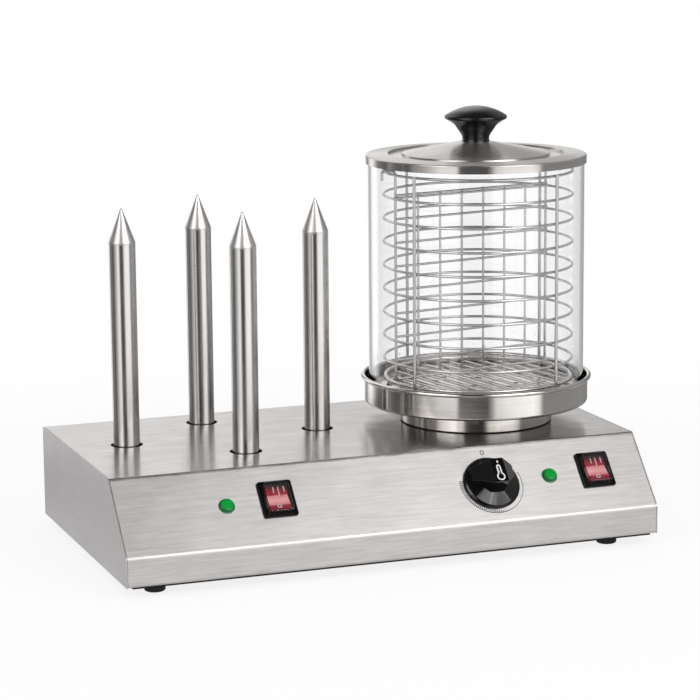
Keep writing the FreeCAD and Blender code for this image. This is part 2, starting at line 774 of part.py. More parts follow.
def thermostat_bulb():
    """Sensing bulb under the heat plate and the capillary tube that leads to the thermostat."""
    bulb_y = STEAM_Y - 34
    bulb_z = 62.0
    bulb_start = STEAM_X - 22
    rear_h = -SHEET - THERMOSTAT_SIZE[2]
    turn = Rotation(Vector(1, 0, 0), SLOPE_ANGLE)
    outward = turn.multVec(Vector(0, 0, 1))
    exit_point = Vector(0, FRONT_Y, LIP_TOP_Z) + turn.multVec(Vector(KNOB_X, KNOB_S, rear_h))
    route = [
        exit_point,
        exit_point - outward * 16,
        Vector(KNOB_X, bulb_y - 30, 40),
        Vector(KNOB_X, bulb_y, bulb_z),
        Vector(bulb_start, bulb_y, bulb_z),
    ]
    capillary = bent_wire(route, 0.9, 6.0)
    bulb = Part.makeCylinder(3.0, 60, Vector(bulb_start, bulb_y, bulb_z), Vector(1, 0, 0))
    return capillary.fuse(bulb)


def terminal_block():
    """Mains terminal block on the base plate with a row of wire holes and screw wells."""
    low = BASE_TOP_Z
    block = box((30, 90), (86, 108), (low, low + 18))
    cuts = []
    for index in range(5):
        x = 36 + 12 * index
        cuts.append(Part.makeCylinder(2.4, 30, Vector(x, 82, low + 6), Vector(0, 1, 0)))
        cuts.append(cylinder(2.6, low + 8, low + 20, x, 91))
        cuts.append(cylinder(2.6, low + 8, low + 20, x, 103))
    return block.cut(cuts)


def gland_axis(shape):
    """Turn a shape drawn along +Z so that it points out of the back at the cable entry."""
    placed = shape.copy()
    placed.Placement = Placement(Vector(GLAND_X, BACK_Y, GLAND_Z), Rotation(Vector(1, 0, 0), -90))
    return placed


def cable_gland():
    """Cable gland: thread through the back, hexagon outside and a tapered nose, bored through."""
    thread = cylinder(GLAND_THREAD, -GLAND_INSIDE, 0)
    head = hexagon(GLAND_HEX, 0, 4.5)
    nose = lathe([(0, 4.5), (9.0, 4.5), (9.0, 8.0, 1.5), (7.2, GLAND_REACH, 1.5), (0, GLAND_REACH)])
    bore = cylinder(GLAND_BORE, -GLAND_INSIDE - 1, GLAND_REACH + 1)
    return gland_axis(thread.fuse([head, nose]).removeSplitter().cut(bore))


def gland_locknut():
    """Locknut of the cable gland against the inside of the back."""
    nut = hexagon(22.0, -SHEET - 5.0, -SHEET)
    return gland_axis(nut.cut(cylinder(GLAND_THREAD + 0.02, -SHEET - 6, 1)))


def control_parts():
    """Nodes of the switches, lamps, thermostat and mains entry."""
    parts = {
        "temperature_knob": on_slope(temperature_knob(), KNOB_X, KNOB_S),
        "thermostat_shaft": on_slope(cylinder(SHAFT_RADIUS, SHAFT_END_H, SHAFT_TOP_H), KNOB_X, KNOB_S),
        "thermostat_body": on_slope(thermostat_body(), KNOB_X, KNOB_S),
        "thermostat_nut": on_slope(thermostat_nut(), KNOB_X, KNOB_S),
        "thermostat_bulb": thermostat_bulb(),
        "terminal_block": terminal_block(),
        "cable_gland": cable_gland(),
        "gland_locknut": gland_locknut(),
    }
    for side, (x, s) in SWITCHES.items():
        parts[f"switch_frame_{side}"] = on_slope(switch_frame(), x, s)
        parts[f"switch_housing_{side}"] = on_slope(switch_housing(), x, s)
        parts[f"switch_rocker_{side}"] = on_slope(switch_rocker(), x, s)
        parts[f"switch_cover_{side}"] = on_slope(switch_cover(), x, s)
    for side, (x, s) in LAMPS.items():
        parts[f"lamp_lens_{side}"] = on_slope(lamp_lens(), x, s)
        parts[f"lamp_body_{side}"] = on_slope(lamp_body(), x, s)
    return parts


# ------------------------------------------------------------------ steamer: fixed parts
def steam_pot():
    """Spun pot: a deep sump through the casing's top, a wide dish above it and a rolled rim."""
    wall = POT_WALL
    bead_z = RIM_TOP_Z - RIM_BEAD
    bead_radius = DISH_RADIUS - wall + RIM_BEAD
    pot = lathe([
        (0, POT_FLOOR_Z),
        (POT_RADIUS, POT_FLOOR_Z, 4.0),
        (POT_RADIUS, DISH_UNDER_Z),
        (DISH_RADIUS, DISH_UNDER_Z, 2.5),
        (DISH_RADIUS, bead_z),
        (DISH_RADIUS - wall, bead_z),
        (DISH_RADIUS - wall, DISH_FLOOR_Z, 1.5),
        (POT_RADIUS - wall, DISH_FLOOR_Z),
        (POT_RADIUS - wall, POT_FLOOR_Z + wall, 3.0),
        (0, POT_FLOOR_Z + wall),
    ], STEAM_X, STEAM_Y)
    bead = Part.makeTorus(bead_radius, RIM_BEAD, Vector(STEAM_X, STEAM_Y, bead_z))
    return pot.fuse(bead).removeSplitter()


def pot_collar():
    """Collar round the pot's neck that sits on the casing's top."""
    low, high = COLLAR_Z
    return lathe([
        (POT_RADIUS, low),
        (COLLAR_RADIUS, low),
        (COLLAR_RADIUS, high, 1.5),
        (POT_RADIUS, high),
    ], STEAM_X, STEAM_Y)


def pot_gasket():
    """Gasket between the collar and the casing's top."""
    inner, outer = GASKET_RADII
    ring = cylinder(outer, CASING_TOP_Z, COLLAR_Z[0], STEAM_X, STEAM_Y)
    return ring.cut(cylinder(inner, CASING_TOP_Z - 1, COLLAR_Z[0] + 1, STEAM_X, STEAM_Y))


def heat_plate():
    """Aluminium plate under the pot with a stud for the element's clamp."""
    radius, thickness = HEAT_PLATE
    disc = cylinder(radius, POT_FLOOR_Z - thickness, POT_FLOOR_Z, STEAM_X, STEAM_Y)
    stud = cylinder(3.0, POT_FLOOR_Z - 22, POT_FLOOR_Z - thickness, STEAM_X, STEAM_Y)
    return disc.fuse(stud)


def heating_element():
    """Tubular element: most of a ring under the heat plate with two ends turned down."""
    gap_degrees = 30.0
    centre_z = POT_FLOOR_Z - HEAT_PLATE[1] - ELEMENT_WIRE
    start = Vector(*polar(ELEMENT_RADIUS, 180 + gap_degrees / 2), 0)
    section = Part.makeCircle(ELEMENT_WIRE, start, Vector(-start.y, start.x, 0))
    sweep = Part.Face(Part.Wire(section)).revolve(Vector(0, 0, 0), Vector(0, 0, 1), 360 - gap_degrees)
    ends = []
    for side in (-1, 1):
        x, y = polar(ELEMENT_RADIUS, 180 + side * gap_degrees / 2)
        ends.append(cylinder(2.5, -20, 1, x, y))
    element = sweep.fuse(ends)
    element.translate(Vector(STEAM_X, STEAM_Y, centre_z))
    return element


def element_clamp():
    """Bar that holds the element against the heat plate."""
    top = POT_FLOOR_Z - HEAT_PLATE[1] - 2 * ELEMENT_WIRE
    bar = centred_box(14.0, 2 * ELEMENT_RADIUS + 16, top - 2.5, top)
    bar = bar.cut(cylinder(3.05, top - 5, top + 1))
    bar.translate(Vector(STEAM_X, STEAM_Y, 0))
    return bar


# ------------------------------------------------------------------ steamer: lift-off parts
def steam_plate():
    """Perforated plate on three short legs over the water."""
    low, high = STEAM_PLATE_Z
    disc = cylinder(STEAM_PLATE_RADIUS, low, high)
    holes = []
    for radius, count in STEAM_HOLE_RINGS:
        for index in range(count):
            x, y = polar(radius, 360 * index / count)
            holes.append(cylinder(STEAM_HOLE_RADIUS, low - 1, high + 1, x, y))
    legs = []
    for index in range(3):
        leg = box((84, 85.2), (-6, 6), (DISH_FLOOR_Z + LIFT_GAP, low + 0.5))
        leg.rotate(Vector(0, 0, 0), Vector(0, 0, 1), 45 + 120 * index)
        legs.append(leg)
    steam = disc.cut(holes).fuse(legs).removeSplitter()
    steam.translate(Vector(STEAM_X, STEAM_Y, 0))
    return steam


def glass_cylinder():
    """Open glass tube that stands in the dish, with ground edges."""
    inner = GLASS_RADIUS - GLASS_WALL
    low = DISH_FLOOR_Z + LIFT_GAP
    edge = 1.0
    return lathe([
        (inner, low, edge),
        (GLASS_RADIUS, low, edge),
        (GLASS_RADIUS, GLASS_TOP_Z, edge),
        (inner, GLASS_TOP_Z, edge),
    ], STEAM_X, STEAM_Y)


def wire_ring(radius, wire, z):
    """Closed wire ring about the steamer's axis."""
    return Part.makeTorus(radius, wire, Vector(STEAM_X, STEAM_Y, z))


def upright_radius():
    """Radius of the basket's uprights, welded to the outside of its rings."""
    return RING_RADIUS + RING_WIRE + UPRIGHT_WIRE - WELD_DEPTH


def base_ring_radius():
    """Radius of the thick ring at the basket's foot, welded inside the uprights."""
    return upright_radius() - UPRIGHT_WIRE - BASE_RING_WIRE + WELD_DEPTH


def basket_uprights():
    """Four upright wires outside the rings, from the top ring down past the base ring as feet."""
    solids = []
    low = STEAM_PLATE_Z[1] + LIFT_GAP
    for angle in UPRIGHT_ANGLES:
        x, y = polar(upright_radius(), angle, (STEAM_X, STEAM_Y))
        solids.append(cylinder(UPRIGHT_WIRE, low, RING_TOP_Z + RING_WIRE, x, y))
    return group(solids)


def chord_wire(distance, degrees, z, wire, radius):
    """Straight wire across a circle at a distance from its middle, along an angle."""
    half = math.sqrt(radius ** 2 - distance ** 2)
    middle = Vector(*polar(distance, degrees + 90, (STEAM_X, STEAM_Y)), z)
    along = Vector(*polar(half, degrees), 0)
    return straight_wire(middle - along, middle + along, wire)


def basket_floor():
    """Parallel wires under the base ring that carry the food."""
    z = BASE_RING_Z - BASE_RING_WIRE - FLOOR_WIRE + WELD_DEPTH
    solids = []
    for index in range(FLOOR_WIRES):
        distance = (index - (FLOOR_WIRES - 1) / 2) * FLOOR_PITCH
        solids.append(chord_wire(distance, DIVIDER_ANGLE + 90, z, FLOOR_WIRE, base_ring_radius()))
    return group(solids)


def divider_end(side):
    """XY of one end of the divider; side is -1 for the left end and 1 for the right end."""
    half = math.sqrt(DIVIDER_RADIUS ** 2 - DIVIDER_OFFSET ** 2)
    x, y = polar(DIVIDER_OFFSET, DIVIDER_ANGLE + 90, (STEAM_X, STEAM_Y))
    return polar(side * half, DIVIDER_ANGLE, (x, y))


def divider_hook(side):
    """End wire of the divider, bent over the basket's top ring."""
    x, y = divider_end(side)
    angle = math.degrees(math.atan2(y - STEAM_Y, x - STEAM_X)) - HOOK_TURN
    hook_x, hook_y = polar(HOOK_RADIUS, angle, (STEAM_X, STEAM_Y))
    top_z = RING_TOP_Z + RING_WIRE + LIFT_GAP + DIVIDER_END_WIRE
    route = [
        Vector(x, y, DIVIDER_FOOT_Z),
        Vector(x, y, top_z),
        Vector(hook_x, hook_y, top_z),
        Vector(hook_x, hook_y, HOOK_TIP_Z),
    ]
    return bent_wire(route, DIVIDER_END_WIRE, HOOK_BEND)


def divider_bar_heights():
    """Heights of the divider's bars: a double bar on top, then one at each ring's level."""
    heights = [DIVIDER_TOP_Z, DIVIDER_TOP_Z - DIVIDER_DOUBLE]
    z = DIVIDER_TOP_Z - RING_PITCH
    while z > DIVIDER_FOOT_Z:
        heights.append(z)
        z -= RING_PITCH
    heights.append(DIVIDER_FOOT_Z + DIVIDER_WIRE)
    return heights


def divider_grid():
    """Upright wires of the divider and the bars welded across the front of them."""
    left = Vector(*divider_end(-1), 0)
    right = Vector(*divider_end(1), 0)
    forward = Vector(*polar(1.0, DIVIDER_ANGLE - 90), 0)
    bar_offset = forward * (DIVIDER_END_WIRE + DIVIDER_WIRE - WELD_DEPTH)
    upright_offset = forward * (DIVIDER_END_WIRE - DIVIDER_WIRE)
    solids = []
    for z in divider_bar_heights():
        lift = Vector(0, 0, z)
        solids.append(straight_wire(left + bar_offset + lift, right + bar_offset + lift, DIVIDER_WIRE))
    for index in range(DIVIDER_UPRIGHTS):
        share = (index + 1) / (DIVIDER_UPRIGHTS + 1)
        place = left + (right - left) * share + upright_offset
        foot_point = place + Vector(0, 0, DIVIDER_FOOT_Z)
        top_point = place + Vector(0, 0, DIVIDER_TOP_Z + DIVIDER_WIRE)
        solids.append(straight_wire(foot_point, top_point, DIVIDER_WIRE))
    return group(solids)


def lid():
    """Spun lid: skirt, outer rim, a groove and a shallow cone up to the knob."""
    sheet = LID_SHEET
    shell = lathe([
        (LID_RADIUS - sheet, LID_SKIRT_Z),
        (LID_RADIUS, LID_SKIRT_Z),
        (LID_RADIUS, LID_EDGE_Z, 1.2),
        (LID_STEP_RADIUS, LID_STEP_Z, 0.5),
        (LID_STEP_RADIUS - 0.6, LID_GROOVE_Z, 0.4),
        (LID_GROOVE_RADIUS, LID_GROOVE_Z, 0.4),
        (LID_GROOVE_RADIUS - 0.6, LID_CONE_Z, 0.5),
        (LID_TOP_RADIUS, LID_TOP_Z, 4.0),
        (LID_SCREW_RADIUS + 0.1, LID_TOP_Z),
        (LID_SCREW_RADIUS + 0.1, LID_TOP_Z - sheet),
        (LID_TOP_RADIUS, LID_TOP_Z - sheet, 4.0),
        (LID_GROOVE_RADIUS - 1.6, LID_CONE_Z - sheet, 0.4),
        (LID_GROOVE_RADIUS - 0.9, LID_GROOVE_Z - sheet, 0.5),
        (LID_STEP_RADIUS + 0.4, LID_GROOVE_Z - sheet, 0.5),
        (LID_STEP_RADIUS + 1.0, LID_STEP_Z - sheet, 0.4),
        (LID_RADIUS - sheet, LID_EDGE_Z - sheet, 0.3),
    ], STEAM_X, STEAM_Y)
    return shell


def lid_knob():
    """Moulded knob: a waisted neck that flares to a wide rim under a low dome, bored for a screw."""
    low = LID_TOP_Z
    flare = [(13.0, 0), (13.0, 5.4), (16.4, 10.7), (19.7, 15.4), (23.5, 18.4), (28.2, 21.0)]
    points = [Vector(radius, 0, low + height) for radius, height in flare]
    curve = Part.BSplineCurve()
    curve.interpolate(Points=points)
    rim_end = Vector(28.0, 0, low + 24.6)
    rise = LID_KNOB_TOP_Z - rim_end.z
    dome_radius = (rim_end.x ** 2 + rise ** 2) / (2 * rise)
    half_angle = math.asin(rim_end.x / dome_radius) / 2
    middle_z = LID_KNOB_TOP_Z - dome_radius * (1 - math.cos(half_angle))
    dome_middle = Vector(dome_radius * math.sin(half_angle), 0, middle_z)
    top = Vector(0, 0, LID_KNOB_TOP_Z)
    bore = [
        top,
        Vector(0, 0, low + LID_SCREW_DEPTH),
        Vector(LID_SCREW_RADIUS, 0, low + LID_SCREW_DEPTH),
        Vector(LID_SCREW_RADIUS, 0, low),
        points[0],
    ]
    edges = [
        curve.toShape(),
        Part.Arc(points[-1], Vector(29.0, 0, low + 22.7), rim_end).toShape(),
        Part.Arc(rim_end, dome_middle, top).toShape(),
    ]
    edges += [Part.LineSegment(start, end).toShape() for start, end in zip(bore, bore[1:])]
    body = Part.Face(Part.Wire(edges)).revolve(Vector(0, 0, 0), Vector(0, 0, 1), 360)
    body.translate(Vector(STEAM_X, STEAM_Y, 0))
    return body


def steamer_parts():
    """Nodes of the steamer, from the pot up to the lid."""
    parts = {
        "steam_pot": steam_pot(),
        "pot_collar": pot_collar(),
        "pot_gasket": pot_gasket(),
        "heat_plate": heat_plate(),
        "heating_element": heating_element(),
        "element_clamp": element_clamp(),
        "steam_plate": steam_plate(),
        "glass_cylinder": glass_cylinder(),
        "basket_top_ring": wire_ring(RING_RADIUS, RING_WIRE, RING_TOP_Z),
        "basket_base_ring": wire_ring(base_ring_radius(), BASE_RING_WIRE, BASE_RING_Z),
        "basket_uprights": basket_uprights(),
        "basket_floor": basket_floor(),
        "divider_grid": divider_grid(),
        "divider_hook_left": divider_hook(-1),
        "divider_hook_right": divider_hook(1),
        "lid": lid(),
        "lid_knob": lid_knob(),
        "lid_screw": screw(
            LID_SCREW_RADIUS, LID_TOP_Z - LID_SHEET, LID_TOP_Z + 14, 5.0, 2.6, STEAM_X, STEAM_Y),
    }
    rings = [
        wire_ring(RING_RADIUS, RING_WIRE, RING_TOP_Z - RING_PITCH * index)
        for index in range(1, RING_COUNT)
    ]
    parts["basket_rings"] = group(rings)
    for name, shape in parts.items():
        if name.startswith(("basket_", "divider_")):
            shape.translate(Vector(BASKET_SHIFT_X, 0, 0))
    return parts


# ------------------------------------------------------------------ output
def save(name, shape):
    """Move a node into the part's frame, check it and write its STEP file."""
    shape.translate(Vector(0, SHIFT_Y, 0))
    if not shape.isValid() or shape.Volume <= 0 or not shape.Solids:
        raise ValueError(f"{name} is not a valid solid")
    shape = shape.Solids[0] if len(shape.Solids) == 1 else Part.makeCompound(shape.Solids)
    shape.exportStep(f"parts/{name}.step")
    print(f"{name}: {len(shape.Solids)} solid(s), {shape.Volume / 1000:.2f} cm3")


def main():
    """Build every node and write it."""
    os.makedirs("parts", exist_ok=True)
    nodes = {**casing_parts(), **rod_parts(), **control_parts(), **steamer_parts()}
    for name, shape in nodes.items():
        save(name, shape)
    print(f"{len(nodes)} nodes, shifted {SHIFT_Y:.3f} mm along Y")


main()
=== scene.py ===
"""A countertop hot dog toaster: the finish of every part, its printed marks, and the studio."""

from __future__ import annotations

import json
import logging
import math
import random
from dataclasses import dataclass, field
from enum import Enum

import bpy
from mathutils import Matrix, Vector


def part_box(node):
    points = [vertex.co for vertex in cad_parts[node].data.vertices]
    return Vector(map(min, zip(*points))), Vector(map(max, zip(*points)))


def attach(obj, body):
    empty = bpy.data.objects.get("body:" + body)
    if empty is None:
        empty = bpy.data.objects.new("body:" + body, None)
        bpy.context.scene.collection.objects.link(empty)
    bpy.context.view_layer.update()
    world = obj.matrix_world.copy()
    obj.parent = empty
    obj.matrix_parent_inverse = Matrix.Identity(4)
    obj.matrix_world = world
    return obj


logging.basicConfig(level=logging.INFO, format="%(name)s: %(message)s")
LOG = logging.getLogger("toaster")
MM = 0.001
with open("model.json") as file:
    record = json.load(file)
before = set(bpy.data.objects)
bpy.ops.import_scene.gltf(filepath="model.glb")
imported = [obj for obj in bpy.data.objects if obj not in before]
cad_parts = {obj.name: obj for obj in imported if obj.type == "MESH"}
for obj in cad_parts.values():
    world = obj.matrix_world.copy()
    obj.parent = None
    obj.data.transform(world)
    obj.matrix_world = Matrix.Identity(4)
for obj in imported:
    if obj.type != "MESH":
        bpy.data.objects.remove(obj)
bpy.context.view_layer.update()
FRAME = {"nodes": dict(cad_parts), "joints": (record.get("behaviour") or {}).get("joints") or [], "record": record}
RIGHT = Vector((1, 0, 0))
SIDES = ("left", "right")
WHITE = (1.0, 1.0, 1.0, 1.0)

# What polished metal sees round the toaster: bearing from +x in degrees, and brightness.
WALLS = (
    (-180, 0.4), (-170, 0.5), (-160, 0.85), (-149, 1.3), (-133, 1.35), (-129, 0.08),
    (-101, 0.06), (-97, 0.4), (-92, 1.15), (-80, 1.4), (-65, 1.45), (-52, 1.6), (-45, 1.25),
    (-40, 0.32), (22, 0.34), (52, 0.25), (60, 0.4), (64, 0.9), (70, 1.0), (73, 1.12),
    (78, 1.12), (84, 0.5), (95, 0.35), (102, 1.2), (110, 1.6), (117, 0.9), (124, 0.3),
    (140, 0.12), (146, 0.38), (154, 0.18), (172, 0.08), (180, 0.4),
)
# The brightness that a full ramp stands for, then how much brighter the walls are above a
# band, and the ceiling. Both bands are in sines of the elevation.
WALL_PEAK = 1.75
WALL_RISE = 1.4
WALL_RISE_BAND = (0.3, 0.5)
CEILING = 0.09
CEILING_BAND = (0.64, 0.8)
# Light on matt surfaces, and the white that metal mirrors through glass.
AMBIENT = 0.75
GLASS_SHEEN = 0.6

# Floor: share of real shade in its white, its paint, and its brightness in metal at the middle
# and at the edge. Its bands are distances from the middle in metres.
FLOOR_RADIUS = 1.1
FLOOR_SHADOW = 0.15
FLOOR_PAINT = (0.92, 0.92, 0.92, 1.0)
FLOOR_IN_METAL = (0.74, 0.3)
FLOOR_IN_METAL_BAND = (0.28, 0.58)
FLOOR_FADE_IN_METAL = (0.45, 0.7)
FLOOR_FADE = (0.45, 1.0)

# Heights in metres of a rod's point, the lid's skirt and the dish's skirt, where the finish
# changes over a band just below the level. Below the dish's skirt, the change in the pot's
# colour is painted shade.
ROD_CONE = 0.03
LID_SKIRT = 0.0084
DISH_SKIRT = 0.0236
LEVEL_BAND = (-0.003, -0.001)

# The range that most of a noise texture lies in.
NOISE_RANGE = (0.3, 0.7)

Colour = tuple[float, float, float]
Socket = bpy.types.NodeSocket


# ------------------------------ node graphs
class Graph:
    """A material or world node tree, written with one call for each node."""

    def __init__(self, tree: bpy.types.NodeTree) -> None:
        """Take over a node tree and empty it.

        Args:
            tree: The tree of a material or a world that uses nodes.
        """
        self.tree = tree
        tree.nodes.clear()

    def add(self, kind: str, **values: object) -> bpy.types.Node:
        """Add a node and set its attributes and inputs.

        Args:
            kind: Blender's type name, without the ShaderNode in front.
            **values: An attribute of the node, an input by its name with _ for spaces, or an
                input by i and its number. A socket is linked to the input, and anything else
                becomes the input's own value.

        Returns:
            The new node.
        """
        node = self.tree.nodes.new("ShaderNode" + kind)
        for name, value in values.items():
            if hasattr(node, name):
                setattr(node, name, value)
            elif name[1:].isdigit():
                self.feed(node.inputs[int(name[1:])], value)
            else:
                self.feed(node.inputs[name.replace("_", " ")], value)
        return node

    def feed(self, socket: Socket, value: object) -> None:
        """Link an input to another socket, or give it a value of its own."""
        if isinstance(value, Socket):
            self.tree.links.new(value, socket)
        else:
            socket.default_value = value

    def math(self, operation: str, first: Socket | float, second: Socket | float = 0.0) -> Socket:
        """Result socket of a Math node on one or two numbers or sockets."""
        return self.add("Math", operation=operation, i0=first, i1=second).outputs[0]

    def vector(self, operation: str, first: object, second: object = (0.0, 0.0, 0.0)) -> Socket:
        """Result socket of a Vector Math node."""
        return self.add("VectorMath", operation=operation, i0=first, i1=second).outputs[0]

    def length(self, vector: Socket) -> Socket:
        """Length of a vector socket."""
        return self.add("VectorMath", operation="LENGTH", i0=vector).outputs["Value"]

    def tint(self, colour: Colour, share: Socket) -> Socket:
        """Colour times a number socket."""
        return self.add("VectorMath", operation="SCALE", i0=colour, Scale=share).outputs[0]

    def step(self, value: Socket, low: float, high: float, start: float = 0.0,
             end: float = 1.0) -> Socket:
        """Smooth step of a number from start to end between low and high.

        Args:
            value: The number's socket.
            low: Where the step starts.
            high: Where the step ends.
            start: The result up to low.
            end: The result from high on.

        Returns:
            The result's socket.
        """
        return self.add(
            "MapRange", interpolation_type="SMOOTHSTEP", clamp=True, Value=value,
            From_Min=low, From_Max=high, To_Min=start, To_Max=end).outputs["Result"]

    def place(self, shift: Vector | Colour = (0, 0, 0), scale: Vector | Colour = (1, 1, 1),
              turn: Matrix | None = None) -> Socket:
        """Object coordinates moved by minus shift, turned, then scaled.

        Args:
            shift: The point that becomes the pattern's origin, in metres.
            scale: How much the pattern is pressed together along each axis.
            turn: A turn from object axes to the pattern's axes.

        Returns:
            The vector socket.
        """
        coordinates = self.add("TexCoord").outputs["Object"]
        moved = self.vector("SUBTRACT", coordinates, tuple(shift))
        if turn is not None:
            angles = tuple(turn.to_euler())
            moved = self.add("Mapping", Vector=moved, Rotation=angles).outputs[0]
        return self.vector("MULTIPLY", moved, tuple(scale))

    def noise(self, vector: Socket, scale: float, detail: float = 2.0,
              roughness: float = 0.55) -> Socket:
        """Noise between 0 and 1 along a vector socket."""
        return self.add(
            "TexNoise", Vector=vector, Scale=scale, Detail=detail,
            Roughness=roughness).outputs["Fac"]

    def ramp(self, factor: Socket, stops: list[tuple[float, Colour]]) -> Socket:
        """Colour socket of a ramp.

        Args:
            factor: The number that runs along the ramp.
            stops: Place and colour of each stop, in order.

        Returns:
            The colour's socket.
        """
        node = self.add("ValToRGB", Fac=factor)
        elements = node.color_ramp.elements
        while len(elements) < len(stops):
            elements.new(0.5)
        for element, (position, colour) in zip(elements, stops):
            element.position = position
            element.color = (*colour, 1.0)
        return node.outputs["Color"]

    def mix(self, factor: Socket, first: Socket | Colour, second: Socket | Colour) -> Socket:
        """Colour between two others.

        Args:
            factor: Share of the second.
            first: Colour or colour socket at 0.
            second: Colour or colour socket at 1.

        Returns:
            The colour's socket.
        """
        node = self.add("Mix", data_type="RGBA", Factor=factor)
        for index, value in ((6, first), (7, second)):
            self.feed(node.inputs[index], (*value, 1.0) if isinstance(value, tuple) else value)
        return node.outputs[2]

    def bump(self, height: Socket, strength: float, distance: float) -> Socket:
        """Normal socket of a Bump node."""
        return self.add(
            "Bump", Height=height, Strength=strength, Distance=distance).outputs["Normal"]

    def finish(self, shader: bpy.types.Node) -> None:
        """Join a shader to the output node."""
        world = shader.bl_idname.endswith("Background")
        output = self.add("OutputWorld" if world else "OutputMaterial")
        self.tree.links.new(shader.outputs[0], output.inputs["Surface"])


# ------------------------------ places taken from the frame
def joint(name: str) -> dict:
    """The frame's entry of a joint."""
    return next(item for item in FRAME["joints"] if item["name"] == name)


def middle(node: str) -> Vector:
    """Middle of a node's box at rest."""
    low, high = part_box(node)
    return (low + high) / 2


@dataclass(frozen=True)
class Slope:
    """The control slope's own axes: x to the right, s up the slope, h out of it."""

    knob: Vector
    up: Vector
    out: Vector

    @staticmethod
    def from_frame() -> Slope:
        """Read the slope from the knob's joint, whose axis points into the slope."""
        turn = joint("knob_turn")
        out = -Vector(turn["axis"]).normalized()
        return Slope(Vector(turn["pos_m"]), out.cross(RIGHT), out)

    def turn(self) -> Matrix:
        """Rotation from slope axes to object axes."""
        return Matrix((RIGHT, self.up, self.out)).transposed()

    def matrix(self, place: Vector) -> Matrix:
        """Matrix that puts a flat drawing on the slope with its origin at a place."""
        return Matrix.Translation(place) @ self.turn().to_4x4()

    def at(self, x: float, s: float, h: float) -> Vector:
        """Point at millimetres right of, above and out from the knob's centre."""
        return self.knob + (RIGHT * x + self.up * s + self.out * h) * MM


SLOPE = Slope.from_frame()
STEAMER_AXIS = Vector((*middle("glass_cylinder").xy, 0.0))


# ------------------------------ finishes
@dataclass(frozen=True)
class Finish:
    """Common ground of every finish."""

    name: str
    colour: Colour = (0.6, 0.6, 0.6)
    roughness: float = 0.3

    def material(self) -> bpy.types.Material:
        """Make the material.

        Returns:
            A new material with this finish's nodes.
        """
        material = bpy.data.materials.new(self.name)
        material.use_nodes = True
        graph = Graph(material.node_tree)
        graph.finish(self.shade(graph))
        return material

    def shade(self, graph: Graph) -> bpy.types.Node:
        """Build the finish's nodes in a material's graph and return its shader."""
        raise NotImplementedError

    def wear(self, graph: Graph, spread: float, size: float = 40.0) -> Socket:
        """Roughness socket that drifts by spread over patches of about 1 / size metres."""
        patches = graph.noise(graph.place(), size, 3.0)
        return graph.step(
            patches, *NOISE_RANGE, self.roughness - spread, self.roughness + spread)


class Grain(Enum):
    """Direction of the brushing on a steel part: its axis, and the pattern's scale on x, y, z.

    Round the steamer the scale is on the radius, the turn and the height.
    """

    ALONG_X = ("X", (70, 1300, 1300))
    ALONG_Y = ("Y", (1300, 70, 1300))
    ALONG_Z = ("Z", (900, 900, 12))
    ROUND_STEAMER = ("", (900, 1.4, 900))


@dataclass(frozen=True)
class BrushedSteel(Finish):
    """Steel brushed or spun in one direction.

    Attributes:
        grain: Direction of the brushing.
        anisotropy: How far the brushing draws a reflection out.
        depth: Strength of the brushing's relief.
        streaks: Contrast of its light and dark lines.
        upper: A height in metres, and what the roughness gains above it.
        film: Share of the surface that isn't bare metal.
        lower: Tone of the colour below that height, which is painted shade.
    """

    grain: Grain = Grain.ALONG_X
    anisotropy: float = 0.9
    depth: float = 0.05
    streaks: float = 0.13
    upper: tuple[float, float] = (10.0, 0.0)
    film: float = 0.0
    lower: float = 1.0

    def tangent(self, graph: Graph) -> Socket:
        """Direction of the brushing as a vector socket.

        Args:
            graph: The material's graph.

        Returns:
            The vector's socket.
        """
        axis, _ = self.grain.value
        if axis:
            return graph.add("CombineXYZ", **{axis: 1.0}).outputs[0]
        spoke = graph.place(STEAMER_AXIS, (1, 1, 0))
        around = graph.vector("CROSS_PRODUCT", (0.0, 0.0, 1.0), spoke)
        return graph.vector("NORMALIZE", around)

    def lines(self, graph: Graph) -> Socket:
        """Coordinates that are nearly constant along the brushing and fast across it.

        Args:
            graph: The material's graph.

        Returns:
            The vector's socket.
        """
        axis, scale = self.grain.value
        if axis:
            return graph.place(scale=scale)
        spoke = graph.place(STEAMER_AXIS)
        split = graph.add("SeparateXYZ", Vector=spoke).outputs
        radius = graph.length(graph.vector("MULTIPLY", spoke, (1.0, 1.0, 0.0)))
        angle = graph.math("ABSOLUTE", graph.math("ARCTAN2", split["Y"], split["X"]))
        scaled = {
            output: graph.math("MULTIPLY", value, factor)
            for output, value, factor in zip("XYZ", (radius, angle, split["Z"]), scale)}
        return graph.add("CombineXYZ", **scaled).outputs[0]

    def shade(self, graph: Graph) -> bpy.types.Node:
        """Steel whose colour, roughness and height follow the brushing.

        Args:
            graph: The material's graph.

        Returns:
            The shader.
        """
        lines = self.lines(graph)
        fine = graph.noise(lines, 1.0, 2.0, 0.6)
        broad = graph.noise(lines, 0.3)
        both = graph.math(
            "ADD", graph.math("MULTIPLY", fine, 0.45), graph.math("MULTIPLY", broad, 0.55))
        streaks = graph.step(
            both, *NOISE_RANGE, 1.0 - self.streaks, 1.0 + self.streaks * 0.6)
        height = graph.add("SeparateXYZ", Vector=graph.place()).outputs["Z"]
        level, change = self.upper
        band = [level + offset for offset in LEVEL_BAND]
        # Below the upper height the colour is scaled by lower: painted shade laid on the streaks.
        tone = graph.math("MULTIPLY", streaks, graph.step(height, *band, self.lower, 1.0))
        rough = graph.math(
            "ADD", self.wear(graph, 0.02), graph.step(fine, 0.2, 0.8, -0.02, 0.02))
        rough = graph.math("ADD", rough, graph.step(height, *band, 0.0, change))
        return graph.add(
            "BsdfPrincipled", Base_Color=graph.tint(self.colour, tone),
            Metallic=1.0 - self.film, Roughness=rough, Anisotropic=self.anisotropy,
            Anisotropic_Rotation=0.25, Tangent=self.tangent(graph),
            Normal=graph.bump(both, self.depth, 0.0004))


